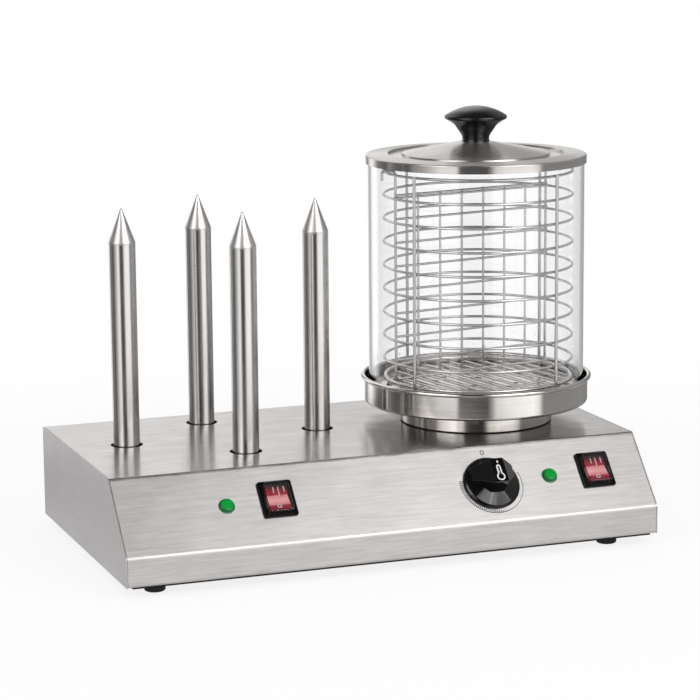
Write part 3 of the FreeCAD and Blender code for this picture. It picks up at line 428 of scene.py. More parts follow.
@dataclass(frozen=True)
class PlainMetal(Finish):
    """Plated, cast or drawn metal with no set grain."""

    mottle: float = 0.08
    size: float = 300.0

    def shade(self, graph: Graph) -> bpy.types.Node:
        """Metal with a faint mottle and shallow pitting.

        Args:
            graph: The material's graph.

        Returns:
            The shader.
        """
        spots = graph.noise(graph.place(), self.size, 4.0)
        tone = graph.step(spots, *NOISE_RANGE, 1.0 - self.mottle, 1.0 + self.mottle)
        return graph.add(
            "BsdfPrincipled", Base_Color=graph.tint(self.colour, tone), Metallic=1.0,
            Roughness=self.wear(graph, 0.04, 90.0), Normal=graph.bump(spots, 0.05, 0.0003))


@dataclass(frozen=True)
class Moulding(Finish):
    """Moulded plastic or rubber with a fine moulded skin and a little dust."""

    grain_depth: float = 0.05
    grain_size: float = 2500.0
    dust: float = 0.003
    shine: float = 0.25

    def shade(self, graph: Graph) -> bpy.types.Node:
        """Plastic whose skin has fine pits and holds a trace of dust in specks.

        Args:
            graph: The material's graph.

        Returns:
            The shader.
        """
        skin = graph.noise(graph.place(), self.grain_size)
        specks = graph.step(graph.noise(graph.place(), 700.0, 4.0, 0.7), 0.58, 0.75)
        dusty = tuple(channel + self.dust for channel in self.colour)
        return graph.add(
            "BsdfPrincipled", Base_Color=graph.mix(specks, self.colour, dusty),
            Roughness=self.wear(graph, 0.03, 120.0), Specular_IOR_Level=self.shine,
            Normal=graph.bump(skin, self.grain_depth, 0.0002))


@dataclass(frozen=True)
class ClearGlass(Finish):
    """Drawn glass tube with faint upright draw lines."""

    ior: float = 1.47

    def shade(self, graph: Graph) -> bpy.types.Node:
        """Glass that bends light, with the slight waves of a drawn tube.

        Args:
            graph: The material's graph.

        Returns:
            The shader.
        """
        waves = graph.noise(graph.place(STEAMER_AXIS, (1, 1, 0.06)), 60.0)
        return graph.add(
            "BsdfPrincipled", Base_Color=(*self.colour, 1.0), Roughness=self.roughness,
            IOR=self.ior, Transmission_Weight=1.0, Normal=graph.bump(waves, 0.02, 0.0006))


@dataclass(frozen=True)
class SlopeFinish(Finish):
    """Finish of a small part on the slope, drawn about the part's own centre."""

    centre: Vector = field(default_factory=Vector)

    def flat(self, graph: Graph) -> Socket:
        """Coordinates along the slope's axes from the part's centre."""
        return graph.place(self.centre, turn=SLOPE.turn().transposed())


@dataclass(frozen=True)
class LitRocker(SlopeFinish):
    """Red translucent rocker with a lamp behind its middle, and painted shade at both ends.

    Attributes:
        strength: Strength of its own light.
        reach: Distance in metres from the pivot to either end of the colours.
        ripple: How far the colours' borders wander, in metres.
        bands: Colours up the rocker, by their place from its lower end to its upper one. Its near-black ends are
            painted shade.
    """

    strength: float = 0.3
    reach: float = 0.0165
    ripple: float = 0.0016
    # The dark reds and near-blacks at both ends are painted shade on the rocker's ends.
    bands: tuple[tuple[float, Colour], ...] = (
        (0.0, (0.05, 0.0, 0.005)), (0.12, (0.16, 0.004, 0.016)), (0.27, (0.34, 0.012, 0.035)),
        (0.31, (0.66, 0.22, 0.24)), (0.45, (0.8, 0.38, 0.39)), (0.58, (0.7, 0.26, 0.27)),
        (0.63, (0.34, 0.012, 0.03)), (0.78, (0.2, 0.008, 0.02)), (0.84, (0.05, 0.006, 0.008)),
    )

    def shade(self, graph: Graph) -> bpy.types.Node:
        """Red plastic that glows pale pink across its middle, with painted shade darkening its ends.

        Args:
            graph: The material's graph.

        Returns:
            The shader.
        """
        flat = self.flat(graph)
        ripple = graph.noise(graph.vector("MULTIPLY", flat, (420.0, 60.0, 60.0)), 1.0)
        up = graph.add("SeparateXYZ", Vector=flat).outputs["Y"]
        along = graph.math("ADD", up, graph.math("MULTIPLY", ripple, self.ripple))
        share = graph.step(along, -self.reach, self.reach)
        share.node.interpolation_type = "LINEAR"
        colour = graph.ramp(share, self.bands)
        return graph.add(
            "BsdfPrincipled", Base_Color=colour, Roughness=self.roughness,
            Emission_Color=colour, Emission_Strength=self.strength, Specular_IOR_Level=0.2,
            Normal=graph.bump(ripple, 0.1, 0.0003))


@dataclass(frozen=True)
class LampLens(SlopeFinish):
    """Green lens with moulded facets under a smooth skin, and painted shade at its rim.

    Attributes:
        valley: Colour between the facets.
        rim: Colour of the rim, a darker green that is painted shade.
        rim_band: Radii in metres between which the rim takes over.
    """

    valley: Colour = (0.003, 0.22, 0.03)
    # Painted shade: the rim's darker green.
    rim: Colour = (0.003, 0.13, 0.03)
    rim_band: tuple[float, float] = (0.0045, 0.0058)

    def shade(self, graph: Graph) -> bpy.types.Node:
        """Green plastic with painted shade that darkens its rim, and a net of facets.

        Args:
            graph: The material's graph.

        Returns:
            The shader.
        """
        flat = self.flat(graph)
        radius = graph.length(graph.vector("MULTIPLY", flat, (1.0, 1.0, 0.0)))
        cells = graph.add("TexVoronoi", Vector=flat, Scale=700.0, feature="DISTANCE_TO_EDGE")
        facets = graph.step(cells.outputs["Distance"], 0.0, 0.25)
        core = graph.mix(facets, self.valley, self.colour)
        # Painted shade towards the rim.
        colour = graph.mix(graph.step(radius, *self.rim_band), core, self.rim)
        return graph.add(
            "BsdfPrincipled", Base_Color=colour, Roughness=self.roughness,
            Emission_Color=colour, Emission_Strength=0.1, Specular_IOR_Level=0.35,
            Normal=graph.bump(facets, 0.12, 0.0003))


@dataclass(frozen=True)
class Ink(Finish):
    """Printed ink, a little uneven."""

    def shade(self, graph: Graph) -> bpy.types.Node:
        """Ink whose tone breaks up slightly, as a pad print's does."""
        tone = graph.step(graph.noise(graph.place(), 1800.0, 3.0), 0.35, 0.65, 0.88, 1.0)
        return graph.add(
            "BsdfPrincipled", Base_Color=graph.tint(self.colour, tone),
            Roughness=self.wear(graph, 0.05, 300.0))


class Finishes:
    """Every finish of the toaster, one material each."""

    def __init__(self) -> None:
        """Make the materials."""
        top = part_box("casing_wrap")[1].z
        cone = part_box("toasting_rod_left")[1].z - ROD_CONE
        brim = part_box("lid")[0].z + LID_SKIRT
        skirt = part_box("steam_pot")[1].z - DISH_SKIRT
        warm = (0.66, 0.63, 0.6)
        spun = {"grain": Grain.ROUND_STEAMER, "depth": 0.03, "streaks": 0.06}
        self.sheet = BrushedSteel(
            "sheet_steel", (0.545, 0.525, 0.516), 0.33, upper=(top, -0.11)).material()
        self.panel = BrushedSteel(
            "end_panel_steel", (0.59, 0.575, 0.57), 0.46, Grain.ALONG_Y,
            anisotropy=0.5, depth=0.03, streaks=0.04).material()
        self.rods = BrushedSteel(
            "rod_steel", (0.62, 0.6, 0.585), 0.22, Grain.ALONG_Z,
            anisotropy=0.0, depth=0.02, streaks=0.08, upper=(cone, 0.16)).material()
        self.spun = BrushedSteel("spun_steel", warm, 0.13, **spun).material()
        # Painted shade: below the dish's skirt the pot's colour falls to 0.3, darkening its underside and neck.
        self.pot = BrushedSteel(
            "pot_steel", warm, 0.3, **spun, upper=(skirt, -0.18), lower=0.3).material()
        self.lid = BrushedSteel(
            "lid_steel", (0.54, 0.515, 0.49), 0.15, **spun, upper=(brim, 0.14),
            film=0.06).material()
        self.base = PlainMetal(
            "zinc_sheet", (0.5, 0.52, 0.54), 0.42, mottle=0.14, size=60.0).material()
        # Painted shade: the base plate's sheet is near black, standing in for the shade under the casing's lip.
        self.painted_shade_base = PlainMetal(
            "painted_shade_base_sheet", (0.03, 0.028, 0.027), 0.55, mottle=0.2, size=900.0).material()
        self.screws = PlainMetal("zinc_screws", (0.62, 0.62, 0.6), 0.3).material()
        self.wire = PlainMetal(
            "bright_wire", (0.6, 0.59, 0.58), 0.18, mottle=0.05, size=500.0).material()
        self.sheath = PlainMetal(
            "heater_sheath", (0.2, 0.2, 0.19), 0.5, mottle=0.2, size=200.0).material()
        self.aluminium = PlainMetal("aluminium_plate", (0.72, 0.72, 0.73), 0.35).material()
        self.copper = PlainMetal("copper_tube", (0.72, 0.36, 0.22), 0.32).material()
        self.glass = ClearGlass("clear_glass", (0.985, 0.985, 0.99), 0.0).material()
        self.cover = ClearGlass("clear_cover", (0.9, 0.9, 0.9), 0.04, ior=1.4).material()
        self.water = ClearGlass("water", (1.0, 1.0, 1.0), 0.0, ior=1.33).material()
        self.knob = Moulding(
            "knob_black", (0.001, 0.001, 0.001), 0.07, 0.01, dust=0.0005, shine=0.5).material()
        self.handle = Moulding(
            "handle_black", (0.002, 0.002, 0.003), 0.24, 0.03, shine=0.5).material()
        self.bezel = Moulding(
            "bezel_black", (0.002, 0.002, 0.002), 0.18, 0.02, dust=0.001).material()
        self.housing = Moulding("housing_black", (0.02, 0.02, 0.021), 0.5, 0.06).material()
        self.rubber = Moulding(
            "rubber_black", (0.016, 0.016, 0.016), 0.75, 0.2, 1500.0).material()
        self.white_ink = Ink("white_ink", (0.82, 0.83, 0.84), 0.5).material()
        self.grey_ink = Ink("grey_ink", (0.02, 0.02, 0.022), 0.6).material()

    def slots(self) -> dict[str, bpy.types.Material]:
        """Material for each of the record's slots that has one finish throughout."""
        return {
            "casing_steel": self.sheet,
            # The base plate's near-black sheet is painted shade.
            "coated_steel": self.painted_shade_base,
            "plain_steel": self.base,
            "zinc_steel": self.screws,
            "foot_rubber": self.rubber,
            "gasket_rubber": self.rubber,
            "rod_steel": self.rods,
            "heater_sheath": self.sheath,
            "spun_steel": self.spun,
            "heat_aluminium": self.aluminium,
            "wire_chrome": self.wire,
            "clear_glass": self.glass,
            "knob_plastic": self.knob,
            "bezel_plastic": self.bezel,
            "body_plastic": self.housing,
            "cover_clear": self.cover,
            "thermostat_metal": self.base,
            "capillary_copper": self.copper,
        }


def dress(node: str, material: bpy.types.Material) -> None:
    """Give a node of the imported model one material.

    Args:
        node: The node's name.
        material: Its new material.
    """
    mesh = FRAME["nodes"][node].data
    mesh.materials.clear()
    mesh.materials.append(material)
    mesh.polygons.foreach_set("material_index", [0] * len(mesh.polygons))


# ------------------------------ modelling by hand
class Bench:
    """The modelling operators, each with its selection set first."""

    @staticmethod
    def clear() -> None:
        """Leave edit mode and deselect everything."""
        if bpy.context.object and bpy.context.object.mode != "OBJECT":
            bpy.ops.object.mode_set(mode="OBJECT")
        bpy.ops.object.select_all(action="DESELECT")

    @staticmethod
    def only(piece: bpy.types.Object) -> None:
        """Make one object the selected and active one."""
        Bench.clear()
        piece.select_set(True)
        bpy.context.view_layer.objects.active = piece

    @staticmethod
    def square() -> bpy.types.Object:
        """Add a flat square a millimetre wide, open in edit mode and selected all over."""
        Bench.clear()
        bpy.ops.mesh.primitive_plane_add(size=MM)
        bpy.ops.object.mode_set(mode="EDIT")
        return bpy.context.object

    @staticmethod
    def settle(piece: bpy.types.Object, matrix: Matrix) -> None:
        """Put a piece drawn about the origin at its place, with the place in its mesh."""
        piece.data.transform(matrix @ piece.matrix_world)
        piece.matrix_world = Matrix.Identity(4)

    @staticmethod
    def join(pieces: list[bpy.types.Object], name: str) -> bpy.types.Object:
        """Join several pieces into one.

        Args:
            pieces: Mesh objects.
            name: Name of the result.

        Returns:
            The joined object.
        """
        Bench.clear()
        for piece in pieces:
            piece.select_set(True)
        bpy.context.view_layer.objects.active = pieces[0]
        bpy.ops.object.join()
        joined = bpy.context.object
        joined.name = name
        joined.data.name = name
        return joined

    @staticmethod
    def finish(piece: bpy.types.Object, angle: float = 40.0) -> None:
        """Mend a piece's normals and shade it smooth.

        Args:
            piece: The mesh object.
            angle: Edges up to this angle in degrees are smooth.
        """
        Bench.only(piece)
        bpy.ops.object.mode_set(mode="EDIT")
        bpy.ops.mesh.select_all(action="SELECT")
        bpy.ops.mesh.normals_make_consistent(inside=False)
        bpy.ops.object.mode_set(mode="OBJECT")
        bpy.ops.object.shade_smooth_by_angle(angle=math.radians(angle))


def publish(piece: bpy.types.Object, name: str, body: str,
            material: bpy.types.Material) -> None:
    """Name a piece, dress it and let it ride on its body.

    Args:
        piece: The finished mesh object, with its place in its mesh.
        name: The piece's name.
        body: The body that it moves with.
        material: Its material.
    """
    piece.name = name
    piece.data.name = name
    piece.data.materials.clear()
    piece.data.materials.append(material)
    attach(piece, body)
    LOG.info("%s: %d faces, rides on %s", name, len(piece.data.polygons), body)


# ------------------------------ printed marks
@dataclass
class Print:
    """A flat print: strokes and arcs of ink, drawn in millimetres on a plane.

    Attributes:
        thickness: Height of the ink.
        corner: A stroke's softened corner as a share of its lesser side.
        overlap: What a stroke gains in length to run into its neighbours.
        weld: Distance at which the ends of a closed ring become one.
        parts: The strokes so far.
    """

    thickness: float = 0.05
    corner: float = 0.22
    overlap: float = 0.3
    weld: float = 0.001
    parts: list[bpy.types.Object] = field(default_factory=list)

    def bar(self, x: float, s: float, width: float, length: float, turn: float = 0.0) -> None:
        """Add a straight stroke with softened corners.

        Args:
            x: Middle to the right.
            s: Middle up the plane.
            width: Size along x before the turn.
            length: Size along s before the turn.
            turn: Counter-clockwise turn in degrees.
        """
        stroke = Bench.square()
        bpy.ops.transform.resize(value=(width, length, 1.0))
        bpy.ops.mesh.bevel(
            offset=min(width, length) * self.corner * MM, segments=2, affect="VERTICES")
        self.thicken(stroke, x, s, turn)

    def arc(self, x: float, s: float, radius: float, width: float, start: float, end: float,
            steps: int) -> None:
        """Add a curved stroke by spinning a short line about its centre.

        Args:
            x: Centre to the right.
            s: Centre up the plane.
            radius: Middle of the stroke.
            width: Width of the stroke.
            start: First angle in degrees from +x.
            end: Last angle in degrees; 360 from the first closes the ring.
            steps: Number of segments.
        """
        stroke = Bench.square()
        bpy.ops.mesh.delete(type="ONLY_FACE")
        bpy.ops.mesh.select_all(action="DESELECT")
        bpy.ops.object.mode_set(mode="OBJECT")
        for vertex in stroke.data.vertices:
            vertex.select = vertex.co.y > 0
        bpy.ops.object.mode_set(mode="EDIT")
        bpy.ops.mesh.delete(type="VERT")
        bpy.ops.mesh.select_all(action="SELECT")
        bpy.ops.transform.resize(value=(width, 1.0, 1.0))
        bpy.ops.transform.translate(value=(radius * MM, 0.5 * MM, 0.0))
        bpy.ops.mesh.spin(
            steps=steps, angle=-math.radians(end - start), center=(0, 0, 0), axis=(0, 0, 1))
        bpy.ops.mesh.select_all(action="SELECT")
        bpy.ops.mesh.remove_doubles(threshold=self.weld * MM)
        self.thicken(stroke, x, s, start)

    def thicken(self, stroke: bpy.types.Object, x: float, s: float, turn: float) -> None:
        """Give a flat stroke its thickness and put it at its place.

        Args:
            stroke: The stroke, open in edit mode and selected all over.
            x: Its origin to the right.
            s: Its origin up the plane.
            turn: Counter-clockwise turn in degrees.
        """
        rise = (0, 0, self.thickness * MM)
        bpy.ops.mesh.extrude_region_move(TRANSFORM_OT_translate={"value": rise})
        bpy.ops.object.mode_set(mode="OBJECT")
        spin = Matrix.Rotation(math.radians(turn), 4, "Z")
        Bench.settle(stroke, Matrix.Translation(Vector((x, s, 0)) * MM) @ spin)
        self.parts.append(stroke)

    def made(self, name: str, matrix: Matrix) -> bpy.types.Object:
        """Join the strokes and put them at their place.

        Args:
            name: Name of the print.
            matrix: Where its plane goes.

        Returns:
            The finished piece.
        """
        piece = Bench.join(self.parts, name)
        Bench.settle(piece, matrix)
        Bench.finish(piece)
        return piece


@dataclass
class KnobMarks:
    """White print on the knob's grip: an index line and a thermometer."""

    top: float = 25.0
    line: float = 1.25
    index_x: float = 0.15
    index_s: float = 8.4
    index_length: float = 2.4
    tube_x: float = -0.3
    tube_half: float = 1.5
    tube_top: float = 3.4
    bulb_radius: float = 3.3
    bulb_s: float = -6.5
    ticks: int = 4
    tick_x: float = -0.6
    tick_drop: float = 0.2
    tick_pitch: float = 1.7
    tick_width: float = 1.0
    tick_height: float = 0.55

    def build(self, finishes: Finishes) -> None:
        """Print the marks on the grip's flat top.

        Args:
            finishes: The toaster's materials.
        """
        ink = Print()
        ink.bar(self.index_x, self.index_s, self.line, self.index_length)
        ink.arc(self.tube_x, self.tube_top, self.tube_half, self.line, 0, 180, 14)
        meet = math.degrees(math.asin(self.tube_half / self.bulb_radius))
        join_s = self.bulb_s + self.bulb_radius * math.cos(math.radians(meet))
        length = self.tube_top - join_s
        for side in (-1, 1):
            ink.bar(self.tube_x + side * self.tube_half, join_s + length / 2, self.line,
                    length + ink.overlap)
        ink.arc(self.tube_x, self.bulb_s, self.bulb_radius, self.line, 90 + meet, 450 - meet, 36)
        for index in range(self.ticks):
            s = self.tube_top - self.tick_drop - self.tick_pitch * index
            ink.bar(self.tube_x + self.tick_x, s, self.tick_width, self.tick_height)
        piece = ink.made("knob_marks", SLOPE.matrix(SLOPE.at(0, 0, self.top)))
        publish(piece, "knob_marks", "knob", finishes.white_ink)


@dataclass
class DialScale:
    """Grey print round the knob: a nought at the top and a hatched wedge that grows clockwise.

    Angles are in degrees from +x and run clockwise as they fall.
    """

    radius: float = 30.0
    line: float = 0.55
    start: float = 17.0
    start_length: float = 1.4
    hatch_from: float = -68.0
    hatch_to: float = -191.0
    hatch_step: float = 3.7
    hatch_growth: float = 28.0
    hatch_length: float = 3.0
    hatch_width: float = 0.8
    nought_s: float = 32.4
    nought_half: float = 1.45
    nought_rise: float = 0.65
    nought_line: float = 0.75

    def build(self, finishes: Finishes) -> None:
        """Print the scale on the slope.

        Args:
            finishes: The toaster's materials.
        """
        ink = Print(thickness=0.04)
        middle_radius = self.radius - self.line / 2
        ink.arc(0, 0, middle_radius, self.line, self.hatch_to, self.start, 120)
        angle = self.hatch_from
        while angle > self.hatch_to:
            grown = min(1.0, (self.hatch_from - angle) / self.hatch_growth)
            self.hatch(ink, angle, self.hatch_length * grown + self.line)
            angle -= self.hatch_step
        self.hatch(ink, self.start, self.start_length)
        self.nought(ink)
        piece = ink.made("dial_scale", SLOPE.matrix(SLOPE.at(0, 0, 0)))
        publish(piece, "dial_scale", "base", finishes.grey_ink)

    def hatch(self, ink: Print, angle: float, length: float) -> None:
        """Add one radial stroke that ends at the scale's outer edge.

        Args:
            ink: The print.
            angle: Where the stroke stands, in degrees.
            length: Its length inwards.
        """
        reach = self.radius - length / 2
        x = reach * math.cos(math.radians(angle))
        s = reach * math.sin(math.radians(angle))
        ink.bar(x, s, self.hatch_width, length, angle - 90)

    def nought(self, ink: Print) -> None:
        """Add the nought as two half rings joined by straight sides.

        Args:
            ink: The print.
        """
        half, rise, line = self.nought_half, self.nought_rise, self.nought_line
        ink.arc(0, self.nought_s + rise, half, line, 0, 180, 12)
        ink.arc(0, self.nought_s - rise, half, line, 180, 360, 12)
        for side in (-1, 1):
            ink.bar(side * half, self.nought_s, line, 2 * rise + ink.overlap)


@dataclass
class Rocker:
    """One lit rocker with its marks: three strokes on its upper half, a ring on its lower one.

    Attributes:
        side: Which rocker it is.
        tilt: Its tilt at rest in degrees.
        pivot_h: Height of the pivot over the slope.
        ridge_h: Height of the ridge between its two facets.
        end_h: Height of the facets' ends.
        half_length: Distance from the ridge to an end.
        strokes: Place to the right and length of each stroke.
        strokes_top: Where the strokes end above the ridge.
        lift: Gap between a facet and its print.
    """

    side: str
    tilt: float = 7.0
    pivot_h: float = -1.5
    ridge_h: float = 2.6
    end_h: float = 4.4
    half_length: float = 12.4
    strokes: tuple[tuple[float, float], ...] = ((-2.5, 5.6), (2.0, 8.6), (7.2, 5.6))
    strokes_top: float = 10.6
    stroke_width: float = 0.75
    ring_x: float = -1.3
    ring_s: float = -10.1
    ring_radius: float = 1.75
    ring_width: float = 0.8
    lift: float = 0.02

    def build(self, finishes: Finishes) -> None:
        """Dress the rocker and print its marks.

        Args:
            finishes: The toaster's materials.
        """
        pivot = Vector(joint(f"rocker_{self.side}_tilt")["pos_m"])
        lit = LitRocker(f"lit_rocker_{self.side}", roughness=0.22, centre=pivot)
        dress(f"switch_rocker_{self.side}", lit.material())
        facet = math.degrees(math.atan2(self.end_h - self.ridge_h, self.half_length))
        strokes = Print()
        for x, length in self.strokes:
            strokes.bar(x, self.strokes_top - length / 2, self.stroke_width, length)
        ring = Print()
        ring.arc(self.ring_x, self.ring_s, self.ring_radius, self.ring_width, 0, 360, 32)
        for mark, ink, rise in (("strokes", strokes, facet), ("ring", ring, -facet)):
            name = f"rocker_{mark}_{self.side}"
            piece = ink.made(name, self.turned(pivot, rise))
            publish(piece, name, f"rocker_{self.side}", finishes.white_ink)

    def turned(self, pivot: Vector, facet: float) -> Matrix:
        """Matrix of one facet of the tilted rocker.

        Args:
            pivot: Where the rocker turns.
            facet: Slope of the facet in degrees, positive above the ridge.

        Returns:
            The matrix, whose origin is the ridge between the facets.
        """
        ridge = self.ridge_h - self.pivot_h + self.lift
        tilted = SLOPE.matrix(pivot) @ Matrix.Rotation(math.radians(-self.tilt), 4, "X")
        return tilted @ Matrix.Translation((0, 0, ridge * MM)) @ Matrix.Rotation(
            math.radians(facet), 4, "X")


@dataclass
class Condensation:
    """Water droplets on the inside of the glass, densest near its foot.

    Attributes:
        count: Number of drops.
        wall: Depth of a drop's middle below the glass's outer face.
        foot: Height of the lowest drops above the glass's foot.
        reach: Height of the highest drops above the lowest.
        crowding: How strongly the drops gather low down.
        sizes: Least and greatest radius.
        flatness: Depth of a drop as a share of its radius.
        stretches: Least and greatest height as a share of its radius.
    """

    count: int = 170
    seed: int = 7
    wall: float = 3.0
    foot: float = 22.0
    reach: float = 60.0
    crowding: float = 2.2
    sizes: tuple[float, float] = (0.25, 0.7)
    flatness: float = 0.35
    stretches: tuple[float, float] = (1.0, 1.5)

    def build(self, finishes: Finishes) -> None:
        """Scatter flattened drops over the inner wall.

        Args:
            finishes: The toaster's materials.
        """
        chance = random.Random(self.seed)
        low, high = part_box("glass_cylinder")
        inner = (high.x - low.x) / 2 - self.wall * MM
        Bench.clear()
        bpy.ops.mesh.primitive_ico_sphere_add(subdivisions=2, radius=1.0)
        first = bpy.context.object
        drops = []
        for _ in range(self.count):
            angle = chance.uniform(0, 2 * math.pi)
            climb = self.reach * MM * chance.random() ** self.crowding
            height = low.z + self.foot * MM + climb
            size = chance.uniform(*self.sizes) * MM
            tall = size * chance.uniform(*self.stretches)
            shape = Matrix.Diagonal((size * self.flatness, size, tall, 1.0))
            place = Matrix.Rotation(angle, 4, "Z") @ Matrix.Translation((inner, 0, height))
            drop = first.copy()
            drop.data = first.data.copy()
            bpy.context.collection.objects.link(drop)
            Bench.settle(drop, Matrix.Translation(STEAMER_AXIS) @ (place @ shape))
            drops.append(drop)
        bpy.data.objects.remove(first)
        piece = Bench.join(drops, "glass_droplets")
        Bench.finish(piece, 80.0)
        publish(piece, "glass_droplets", "glass", finishes.water)


# ------------------------------ assembly
@dataclass
class Toaster:
    """The whole machine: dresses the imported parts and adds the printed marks."""

    finishes: Finishes

    def dress_parts(self) -> None:
        """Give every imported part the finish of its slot, then the parts with their own."""
        slots = self.finishes.slots()
        for entry in FRAME["record"]["subparts"]:
            material = slots.get(entry["material_slot"])
            if material is not None:
                dress(entry["node"], material)
        for side in SIDES:
            dress(f"{side}_end_panel", self.finishes.panel)
            lens = f"lamp_lens_{side}"
            green = LampLens(
                f"green_lens_{side}", (0.002, 0.35, 0.045), 0.14, centre=middle(lens))
            dress(lens, green.material())
        dress("steam_pot", self.finishes.pot)
        dress("lid", self.finishes.lid)
        dress("lid_knob", self.finishes.handle)

    def build(self) -> None:
        """Dress the parts, then add the prints and the droplets in order."""
        self.dress_parts()
        for addition in (KnobMarks(), DialScale(), *map(Rocker, SIDES), Condensation()):
            addition.build(self.finishes)


# ------------------------------ studio
@dataclass
class Softbox:
    """A soft rectangular lamp at a bearing round the toaster, which faces a point over it."""

    name: str
    bearing: float
    elevation: float
    distance: float
    width: float
    height: float
    radiance: float
    aim_height: float = 0.15

    def build(self) -> None:
        """Hang the lamp so that it faces the toaster."""
        light = bpy.data.lights.new(self.name, "AREA")
        light.shape = "RECTANGLE"
        light.size = self.width
        light.size_y = self.height
        light.energy = self.radiance * math.pi * self.width * self.height
        lamp = bpy.data.objects.new(self.name, light)
        bpy.context.scene.collection.objects.link(lamp)
        bearing, elevation = math.radians(self.bearing), math.radians(self.elevation)
        toward = Vector((
            math.cos(bearing) * math.cos(elevation),
            math.sin(bearing) * math.cos(elevation),
            math.sin(elevation)))
        lamp.location = Vector((0.0, 0.0, self.aim_height)) + toward * self.distance
        lamp.rotation_mode = "QUATERNION"
        lamp.rotation_quaternion = toward.to_track_quat("Z", "Y")


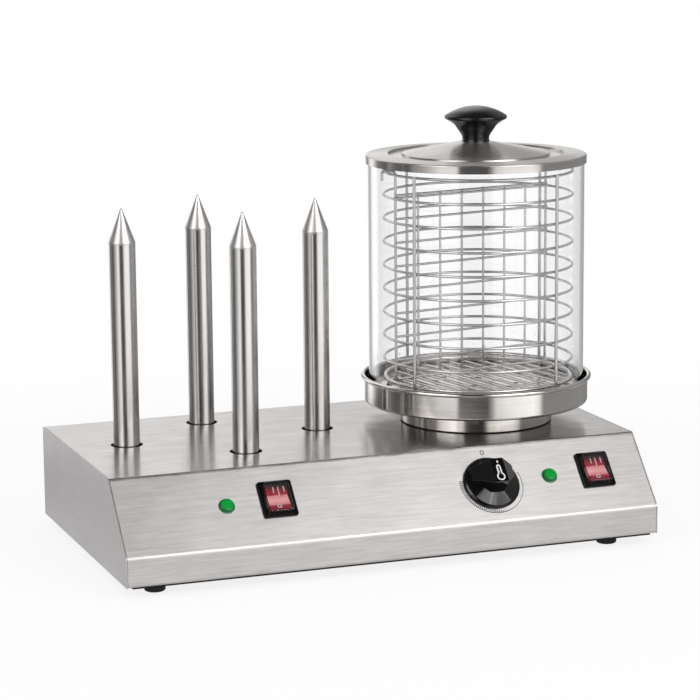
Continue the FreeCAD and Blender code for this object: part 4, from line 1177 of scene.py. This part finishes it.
@dataclass
class Studio:
    """Pale floor, white surroundings, soft lamps and the camera.

    Attributes:
        focal: Focal length in pixels.
        frame_width: Width of the frame in pixels.
        sensor: Width of the camera's sensor in millimetres.
        yaw: Turn of the camera to the right of +y, in degrees.
        pitch: Its tilt down, in degrees.
        roll: Its turn about its own axis, in degrees.
        eye: Where it stands, in metres.
    """

    focal: float = 2623.8
    frame_width: float = 700.0
    sensor: float = 36.0
    yaw: float = 20.328
    pitch: float = 10.508
    roll: float = -0.486
    eye: tuple[float, float, float] = (-0.8166, -2.22568, 0.6120)
    lamps: tuple[Softbox, ...] = (
        Softbox("key_softbox", -69.0, 38.0, 2.2, 1.8, 0.7, 2.1),
        Softbox("key_core", -64.5, 38.0, 2.15, 0.75, 0.45, 3.8),
        Softbox("fill_softbox", -157.0, 25.0, 2.2, 1.2, 1.0, 2.0),
    )

    def camera(self) -> None:
        """Set up the camera."""
        data = bpy.data.cameras.new("camera")
        data.sensor_width = self.sensor
        data.lens = data.sensor_width * self.focal / self.frame_width
        data.clip_end = 50.0
        camera = bpy.data.objects.new("camera", data)
        bpy.context.scene.collection.objects.link(camera)
        yaw, pitch, roll = (math.radians(angle) for angle in (self.yaw, self.pitch, self.roll))
        ahead = Vector((
            math.sin(yaw) * math.cos(pitch), math.cos(yaw) * math.cos(pitch), -math.sin(pitch)))
        right = Vector((math.cos(yaw), -math.sin(yaw), 0.0))
        up = right.cross(ahead)
        right_rolled = right * math.cos(roll) + up * math.sin(roll)
        up_rolled = up * math.cos(roll) - right * math.sin(roll)
        camera.matrix_world = Matrix.Translation(self.eye) @ Matrix(
            (right_rolled, up_rolled, -ahead)).transposed().to_4x4()
        bpy.context.scene.camera = camera

    def world(self) -> None:
        """White to the eye and through glass; the room's walls to polished metal."""
        world = bpy.data.worlds.new("studio")
        bpy.context.scene.world = world
        world.use_nodes = True
        graph = Graph(world.node_tree)
        path = graph.add("LightPath").outputs
        mirrored = graph.math("MINIMUM", path["Glossy Depth"], 1.0)
        direct = graph.math("SUBTRACT", 1.0, mirrored)
        level = graph.math(
            "ADD", graph.math("MULTIPLY", mirrored, self.room(graph)),
            graph.math("MULTIPLY", direct, AMBIENT))
        seen = graph.math("MAXIMUM", path["Is Camera Ray"], path["Is Transmission Ray"])
        clear = graph.math(
            "SUBTRACT", 1.0, graph.math("MULTIPLY", mirrored, 1.0 - GLASS_SHEEN))
        strength = graph.math("MAXIMUM", level, graph.math("MULTIPLY", seen, clear))
        graph.finish(graph.add("Background", Color=WHITE, Strength=strength))

    @staticmethod
    def room(graph: Graph) -> Socket:
        """Dark panels and pale walls under a dim ceiling.

        Args:
            graph: The world's graph.

        Returns:
            The room's brightness in a direction, as a socket.
        """
        split = graph.add(
            "SeparateXYZ", Vector=graph.add("TexCoord").outputs["Generated"]).outputs
        bearing = graph.math("ARCTAN2", split["Y"], split["X"])
        turn = graph.math("ADD", graph.math("DIVIDE", bearing, 2 * math.pi), 0.5)
        walls = graph.ramp(turn, [
            ((degrees + 180.0) / 360.0, (level / WALL_PEAK,) * 3) for degrees, level in WALLS])
        walls = graph.math("MULTIPLY", walls, WALL_PEAK)
        height = graph.math("ABSOLUTE", split["Z"])
        ceiling = graph.step(height, *CEILING_BAND)
        walls = graph.math("MULTIPLY", walls, graph.math("SUBTRACT", 1.0, ceiling))
        rise = graph.step(height, *WALL_RISE_BAND, 1.0, WALL_RISE)
        return graph.math(
            "ADD", graph.math("MULTIPLY", walls, rise), graph.math("MULTIPLY", ceiling, CEILING))

    def floor(self) -> None:
        """White round floor with a soft shadow, which fades into the white surroundings."""
        Bench.clear()
        bpy.ops.mesh.primitive_circle_add(vertices=96, radius=FLOOR_RADIUS, fill_type="NGON")
        floor = bpy.context.object
        floor.name = "floor"
        material = bpy.data.materials.new("floor")
        material.use_nodes = True
        graph = Graph(material.node_tree)
        distance = graph.length(graph.place())
        glossy = graph.add("LightPath").outputs["Is Glossy Ray"]
        near = graph.step(distance, *FLOOR_FADE_IN_METAL, 1.0, 0.0)
        wide = graph.step(distance, *FLOOR_FADE, 1.0, 0.0)
        shown = graph.math(
            "ADD", graph.math("MULTIPLY", glossy, near),
            graph.math("MULTIPLY", graph.math("SUBTRACT", 1.0, glossy), wide))
        white = graph.add("Emission", Color=WHITE, Strength=1.0)
        paint = graph.add("BsdfDiffuse", Color=FLOOR_PAINT)
        dim = graph.step(distance, *FLOOR_IN_METAL_BAND, *FLOOR_IN_METAL)
        dull = graph.add("Emission", Color=WHITE, Strength=dim)
        lit = self.blend(graph, FLOOR_SHADOW, white, paint)
        surface = self.blend(graph, glossy, lit, dull)
        clear = graph.add("BsdfTransparent")
        graph.finish(self.blend(graph, shown, clear, surface))
        floor.data.materials.append(material)

    @staticmethod
    def blend(graph: Graph, share: Socket | float, first: bpy.types.Node,
              second: bpy.types.Node) -> bpy.types.Node:
        """Mix two shaders.

        Args:
            graph: The material's graph.
            share: Share of the second shader.
            first: The shader at 0.
            second: The shader at 1.

        Returns:
            The mixed shader.
        """
        return graph.add("MixShader", i0=share, i1=first.outputs[0], i2=second.outputs[0])

    def build(self) -> None:
        """Build the studio."""
        bpy.context.scene.view_settings.view_transform = "Standard"
        self.camera()
        self.world()
        self.floor()
        for lamp in self.lamps:
            lamp.build()


def main() -> None:
    """Build the toaster and its studio."""
    Studio().build()
    LOG.info("studio built")
    Toaster(Finishes()).build()
    LOG.info("toaster built")


if __name__ == "__main__":
    main()
